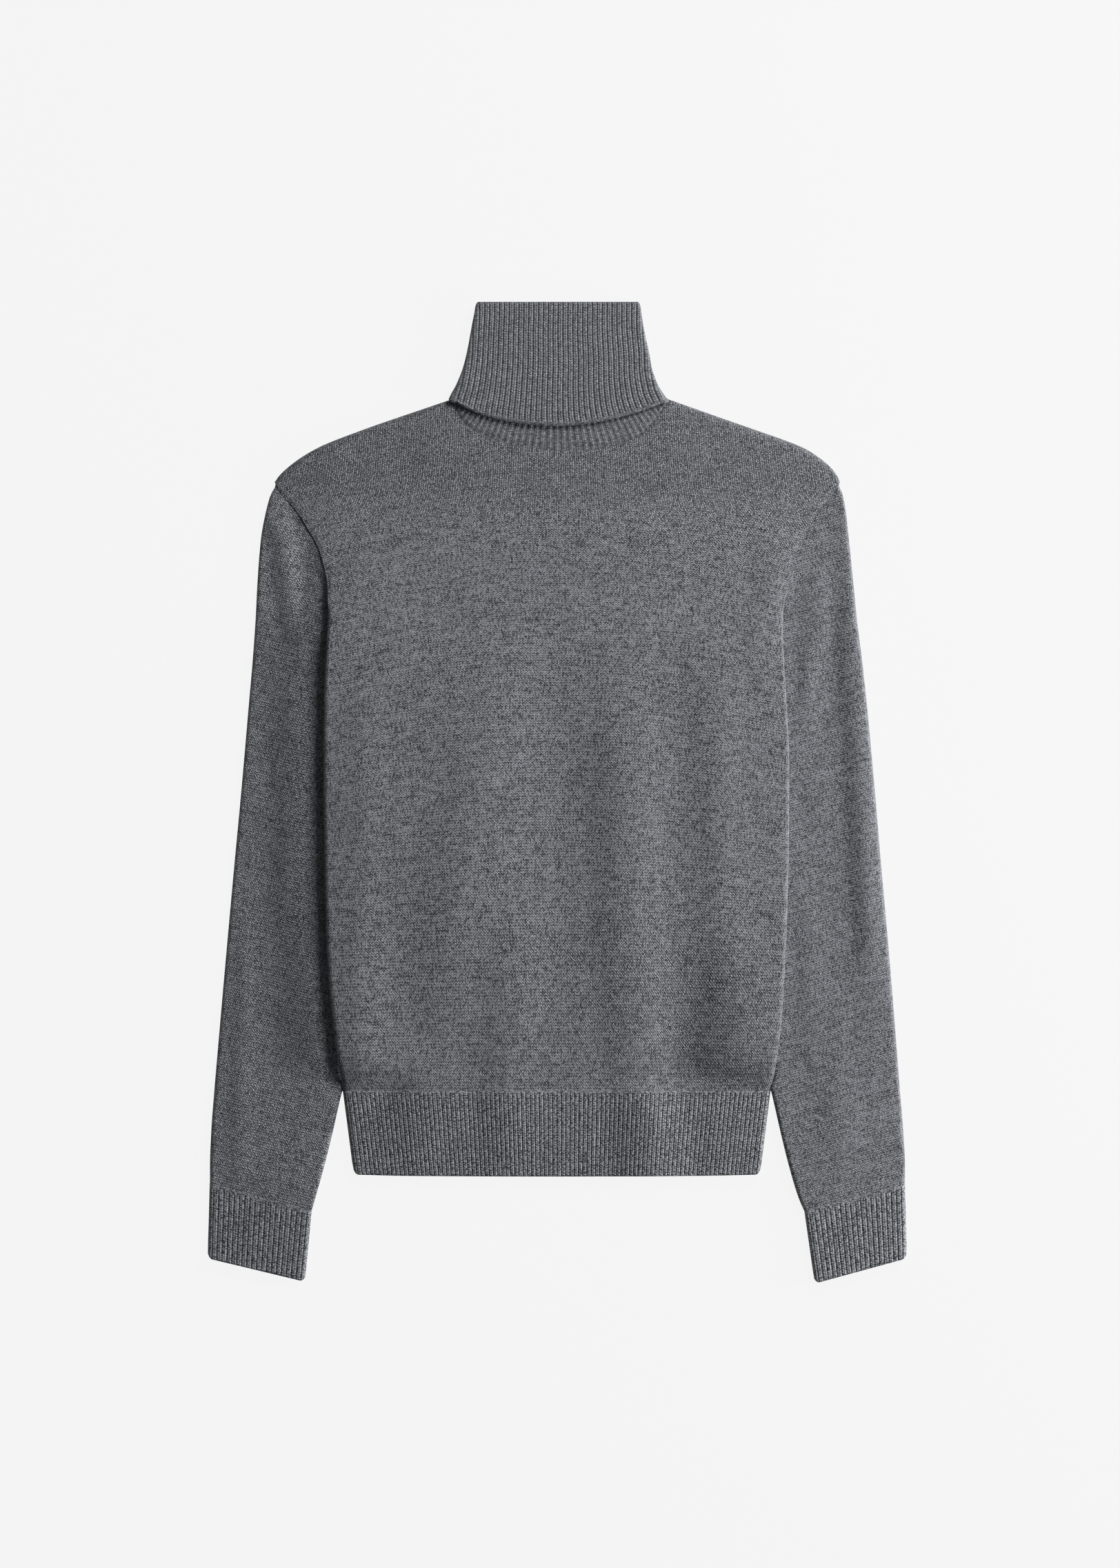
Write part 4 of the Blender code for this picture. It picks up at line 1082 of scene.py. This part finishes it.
def plain_knit(name, scene, uneven, slant, clear):
    """Stocking stitch: rows of legs that meet in points.

    slant is how many courses a leg rises, uneven how much the stitches wander and clear how
    clearly they stand out, in the speckle and in the painted shade in the gaps between them.
    """
    graph = Graph(name)
    wale, course, spread = graph.stitch()
    u = wale + wander(graph, wale, course, 1.0) * uneven
    v = course + wander(graph, wale, course, 1.7) * uneven
    side = abs(u.fract() * 2.0 - 1.0)
    phase = v - side * slant
    gap = side.smooth(0.64, 1.0) + (1.0 - side.smooth(0.0, 0.36)) * (spread * 0.2 + 0.75)
    height = (phase.wave() * (1.0 - spread * 0.6) + spread * 0.6) * (
        1.0 - gap * (spread * 0.4 + 0.42))
    leg = (u * 2.0).floor(), phase.floor()
    fibre_and_painted_shade = melange(graph, wale, course, leg, scene.sweater_yarn.speckle * clear,
                   0.65 - spread * 0.3, 0.9 - spread * 0.5)
    # Painted shade: the colour is darker where the stitches are low, in the gaps between them, and
    # darker overall near the shoulders, where the columns stand apart.
    fibre_and_painted_shade = fibre_and_painted_shade * (height * 1.6 * clear + 0.97 - 0.58 * clear) * (1.0 - spread * 0.4)
    return wool(graph, scene.sweater_yarn, fibre_and_painted_shade, height, scene.sweater_stitches.plain_depth)


def rib_knit(name, scene, speckle, leg_share, shade, painted_groove_shade, uneven=0.16, first_row=0.0):
    """One-by-one rib: the ribs are in the mesh, and the yarn's turns and colour are here, with
    painted shade between its stitches, in its grooves and in the holes at the neckline.

    shade is how pale it is, deep how dark the painted shade in its grooves is, uneven how much its
    stitches wander and first_row how much paler the first course after the join is.
    """
    graph = Graph(name)
    wale, course, relief = graph.stitch()
    stand = course.smooth(STAND_COURSE * 0.4, STAND_COURSE * 0.6)
    legs = stand * (STAND_LEG - leg_share) + leg_share
    v = course + wander(graph, wale, course, 1.7) * uneven
    side = abs(wale.fract() * 2.0 - 1.0)
    shown = relief.math("MINIMUM", 1.0)
    groove = side.smooth(legs - 0.12, legs + 0.12) * shown
    split = (1.0 - side.smooth(0.0, 0.26)) * shown
    phase = v - side / legs * RIB_SLANT
    purl = (v * 2.0 - (1.0 - side) ** 2.0 * 1.6).wave()
    height = (1.0 - groove) * (phase.wave() * (shown * 0.5 + 0.15) + 0.35) * (1.0 - split * 0.8)
    height = height + groove * purl * (stand * 0.45 + 0.1)
    leg = (wale * 2.0).floor(), phase.floor()
    fibre_and_painted_shade = melange(graph, wale, course, leg, scene.sweater_yarn.speckle * speckle, 0.28, 0.25)
    # Painted shade: darker where the stitches are low, and darker still in the grooves.
    fibre_and_painted_shade = fibre_and_painted_shade * (height * 1.35 + 0.26) * (shade - groove * (1.0 - stand * 0.5) * painted_groove_shade)
    # Painted shade in the holes that the neckline draws in.
    fibre_and_painted_shade = fibre_and_painted_shade * (1.0 - relief.smooth(1.1, 2.4) * 0.8)
    if first_row:
        fibre_and_painted_shade = fibre_and_painted_shade * (course.smooth(-1.2, -0.3) * first_row + 1.0)
    return wool(graph, scene.sweater_yarn, fibre_and_painted_shade, height, scene.sweater_stitches.rib_depth)


# ---- settings ----
class YarnSettings(bpy.types.PropertyGroup):
    """Colours of the wool."""

    light: FloatVectorProperty(
        name="Light fibres", description="Colour of the palest fibres in the yarn",
        subtype="COLOR", size=4, min=0.0, max=1.0, default=(0.335, 0.348, 0.375, 1.0))
    # The painted shade in stitch gaps and grooves is mixed towards this colour as well.
    dark: FloatVectorProperty(
        name="Dark fibres", description="Colour of the darkest fibres in the yarn",
        subtype="COLOR", size=4, min=0.0, max=1.0, default=(0.022, 0.0235, 0.027, 1.0))
    speckle: FloatProperty(
        name="Speckle", description="How unevenly light and dark fibres are mixed",
        subtype="FACTOR", min=0.0, max=1.0, default=0.6)


class StitchSettings(bpy.types.PropertyGroup):
    """Sizes of the stitches."""

    rib_rise: FloatProperty(
        name="Rib height", description="Height of a rib above the grooves beside it",
        unit="LENGTH", min=0.0, max=0.002, default=0.0005)
    plain_depth: FloatProperty(
        name="Plain stitch depth", description="Depth between two rows of plain stitches",
        unit="LENGTH", min=0.0, max=0.002, default=0.0006)
    rib_depth: FloatProperty(
        name="Rib stitch depth", description="Depth between two stitches of a rib",
        unit="LENGTH", min=0.0, max=0.002, default=0.0003)


class StageSettings(bpy.types.PropertyGroup):
    """Floor, light and camera."""

    floor: FloatVectorProperty(
        name="Floor", description="Colour of the floor that the sweater lies on",
        subtype="COLOR", size=4, min=0.0, max=1.0, default=(0.915, 0.915, 0.915, 1.0))
    key_power: FloatProperty(
        name="Key light", description="Power of the large light at the upper right",
        unit="POWER", min=0.0, default=85.0)
    key_height: FloatProperty(
        name="Key height", description="Angle of the large light above the floor",
        subtype="ANGLE", min=0.1, max=1.5, default=math.radians(31.0))
    key_turn: FloatProperty(
        name="Key direction", description="Angle of the large light from +X towards the collar",
        subtype="ANGLE", default=math.radians(52.0))
    rake_power: FloatProperty(
        name="Rake light", description="Power of the low light that shows the folds",
        unit="POWER", min=0.0, default=40.0)
    rake_height: FloatProperty(
        name="Rake height", description="Angle of the low light above the floor",
        subtype="ANGLE", min=0.05, max=1.5, default=math.radians(12.0))
    rake_turn: FloatProperty(
        name="Rake direction", description="Angle of the low light from +X towards the collar",
        subtype="ANGLE", default=math.radians(-3.0))
    fill: FloatProperty(
        name="Fill light", description="Brightness of the even light from all round",
        min=0.0, default=0.105)


# ---- operators ----
def settle(piece, node):
    """A knitted shell takes the place of its solid, which it rides with."""
    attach(piece, BODY)
    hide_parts(node)


class SWEATER_OT_body(bpy.types.Operator):
    """Knit the front and back panels"""

    bl_idname = "sweater.body"
    bl_label = "Knit body panels"

    def execute(self, context):
        material = plain_knit("plain_knit", context.scene, uneven=0.4, slant=0.7, clear=1.0)
        back = body_panel("back_panel", BACK_NECKLINE, False, material)
        front = body_panel("front_panel", FRONT_NECKLINE, True, material)
        settle(back, "back")
        settle(front, "front")
        return {"FINISHED"}


class SWEATER_OT_sleeves(bpy.types.Operator):
    """Knit the two sleeves"""

    bl_idname = "sweater.sleeves"
    bl_label = "Knit sleeves"

    def execute(self, context):
        material = plain_knit("sleeve_knit", context.scene, uneven=0.7, slant=0.6, clear=0.78)
        for side in TURN:
            piece = sleeve("sleeve_" + side + "_tube", side, material)
            settle(piece, "sleeve_" + side)
        return {"FINISHED"}


class SWEATER_OT_bands(bpy.types.Operator):
    """Knit the hem rib and the two cuffs"""

    bl_idname = "sweater.bands"
    bl_label = "Knit hem and cuffs"

    def execute(self, context):
        scene = context.scene
        rise = scene.sweater_stitches.rib_rise / MM
        material = rib_knit("hem_knit", scene, speckle=1.35, leg_share=RIB_LEG, shade=1.1,
                            painted_groove_shade=0.64, uneven=0.5, first_row=0.3)
        ends = [(float(BODY_TABLE.read(side, HEM_TOP)), HEM_TOP + SEAM_LAP) for side in TURN]
        hem = band("hem_band", Ribbing(*HEM_RIBS, HEM_STOPS, coarse=2), straight(ends),
                   Curve(HEM_BOTTOM).at, rise, HEM_START, material, FRONT_RIDGES)
        settle(hem, "hem_rib")
        material = rib_knit("cuff_knit", scene, speckle=1.35, leg_share=RIB_LEG, shade=1.2,
                            painted_groove_shade=0.6, uneven=0.6)
        for side in TURN:
            top, bottom = (straight(CUFF_EDGES[side][key]) for key in ("top", "bottom"))
            cuff = band("cuff_" + side + "_band", Ribbing(*CUFF_RIBS, HEM_STOPS), top, bottom,
                        rise, CUFF_START, material)
            settle(cuff, "cuff_" + side)
        return {"FINISHED"}


class SWEATER_OT_collar(bpy.types.Operator):
    """Knit the collar, folded over at its top"""

    bl_idname = "sweater.collar"
    bl_label = "Knit collar"

    def execute(self, context):
        scene = context.scene
        material = rib_knit("collar_knit", scene, speckle=0.65, leg_share=COLLAR_LEG, shade=0.9,
                            painted_groove_shade=0.16)
        piece = collar(material, scene.sweater_stitches.rib_rise / MM)
        settle(piece, "collar")
        return {"FINISHED"}


class SWEATER_OT_stage(bpy.types.Operator):
    """Set up the floor, the lights and the camera"""

    bl_idname = "sweater.stage"
    bl_label = "Set the stage"

    FRAME_HEIGHT = 1.3326       # what the camera sees of the floor, from top to bottom
    AIM = (0.0023, 0.0067, 0.008)
    CAMERA_HEIGHT = 6.0
    SENSOR = 24.0
    FLOOR_HALF = 6.0
    FLOOR_GAP = 0.0002          # keeps the floor from touching the sweater
    KEY_SIZE, KEY_DISTANCE = 1.3, 3.0
    RAKE_SIZE, RAKE_DISTANCE = 0.36, 1.8

    def execute(self, context):
        stage = context.scene.sweater_stage
        self.floor(stage.floor)
        self.light("key", stage.key_power, stage.key_height, stage.key_turn, self.KEY_SIZE,
                   self.KEY_DISTANCE)
        self.light("rake", stage.rake_power, stage.rake_height, stage.rake_turn, self.RAKE_SIZE,
                   self.RAKE_DISTANCE)
        self.world(context.scene, stage.fill)
        self.camera(context.scene)
        context.scene.view_settings.view_transform = "Standard"
        return {"FINISHED"}

    def floor(self, colour):
        mesh = bpy.data.meshes.new("floor")
        far = self.FLOOR_HALF
        mesh.from_pydata([(-far, -far, 0), (far, -far, 0), (far, far, 0), (-far, far, 0)], [],
                         [(0, 1, 2, 3)])
        mesh.materials.append(Graph("pale_floor").shade({
            "Base Color": (0.03, 0.03, 0.03, 1.0), "Roughness": 1.0, "Specular IOR Level": 0.0,
            "Emission Color": colour, "Emission Strength": 0.97}))
        piece = add_object("floor", mesh)
        piece.location.z = -self.FLOOR_GAP

    def light(self, name, power, height, turn, size, distance):
        light = bpy.data.lights.new(name, "AREA")
        light.shape = "DISK"
        light.size = size
        light.energy = power
        flat = math.cos(height)
        way = Vector((flat * math.cos(turn), flat * math.sin(turn), math.sin(height)))
        lamp = add_object(name, light)
        lamp.location = Vector(self.AIM) + way * distance
        lamp.rotation_euler = (-way).to_track_quat("-Z", "Y").to_euler()

    def world(self, scene, strength):
        world = bpy.data.worlds.new("studio")
        world.use_nodes = True
        back = world.node_tree.nodes["Background"]
        back.inputs["Color"].default_value = (1.0, 1.0, 1.0, 1.0)
        back.inputs["Strength"].default_value = strength
        scene.world = world

    def camera(self, scene):
        data = bpy.data.cameras.new("camera")
        data.sensor_fit = "VERTICAL"
        data.sensor_height = self.SENSOR
        data.lens = self.SENSOR * self.CAMERA_HEIGHT / self.FRAME_HEIGHT
        data.clip_end = 50.0
        scene.camera = add_object("camera", data)
        scene.camera.location = Vector(self.AIM) + Vector((0.0, 0.0, self.CAMERA_HEIGHT))


OPERATORS = (SWEATER_OT_body, SWEATER_OT_sleeves, SWEATER_OT_bands, SWEATER_OT_collar,
             SWEATER_OT_stage)


class SWEATER_PT_sidebar(bpy.types.Panel):
    """The sweater's pieces and settings"""

    bl_idname = "SWEATER_PT_sidebar"
    bl_label = "Sweater"
    bl_space_type = "VIEW_3D"
    bl_region_type = "UI"
    bl_category = "Sweater"

    def draw(self, context):
        for group in ("sweater_yarn", "sweater_stitches", "sweater_stage"):
            settings = getattr(context.scene, group)
            for name in settings.bl_rna.properties.keys():
                if name not in ("rna_type", "name"):
                    self.layout.prop(settings, name)
        for operator in OPERATORS:
            self.layout.operator(operator.bl_idname)


SETTINGS = {"sweater_yarn": YarnSettings, "sweater_stitches": StitchSettings,
            "sweater_stage": StageSettings}


def register():
    for group in SETTINGS.values():
        bpy.utils.register_class(group)
    for name, group in SETTINGS.items():
        setattr(bpy.types.Scene, name, PointerProperty(type=group))
    for entry in OPERATORS + (SWEATER_PT_sidebar,):
        bpy.utils.register_class(entry)


def unregister():
    for entry in reversed(OPERATORS + (SWEATER_PT_sidebar,)):
        bpy.utils.unregister_class(entry)
    for name, group in SETTINGS.items():
        delattr(bpy.types.Scene, name)
        bpy.utils.unregister_class(group)


def plain(box):
    return [[float(value) for value in corner] for corner in box]


def main():
    register()
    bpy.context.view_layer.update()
    for operator in OPERATORS:
        family, name = operator.bl_idname.split(".")
        getattr(getattr(bpy.ops, family), name)()


if __name__ == "__main__":
    main()
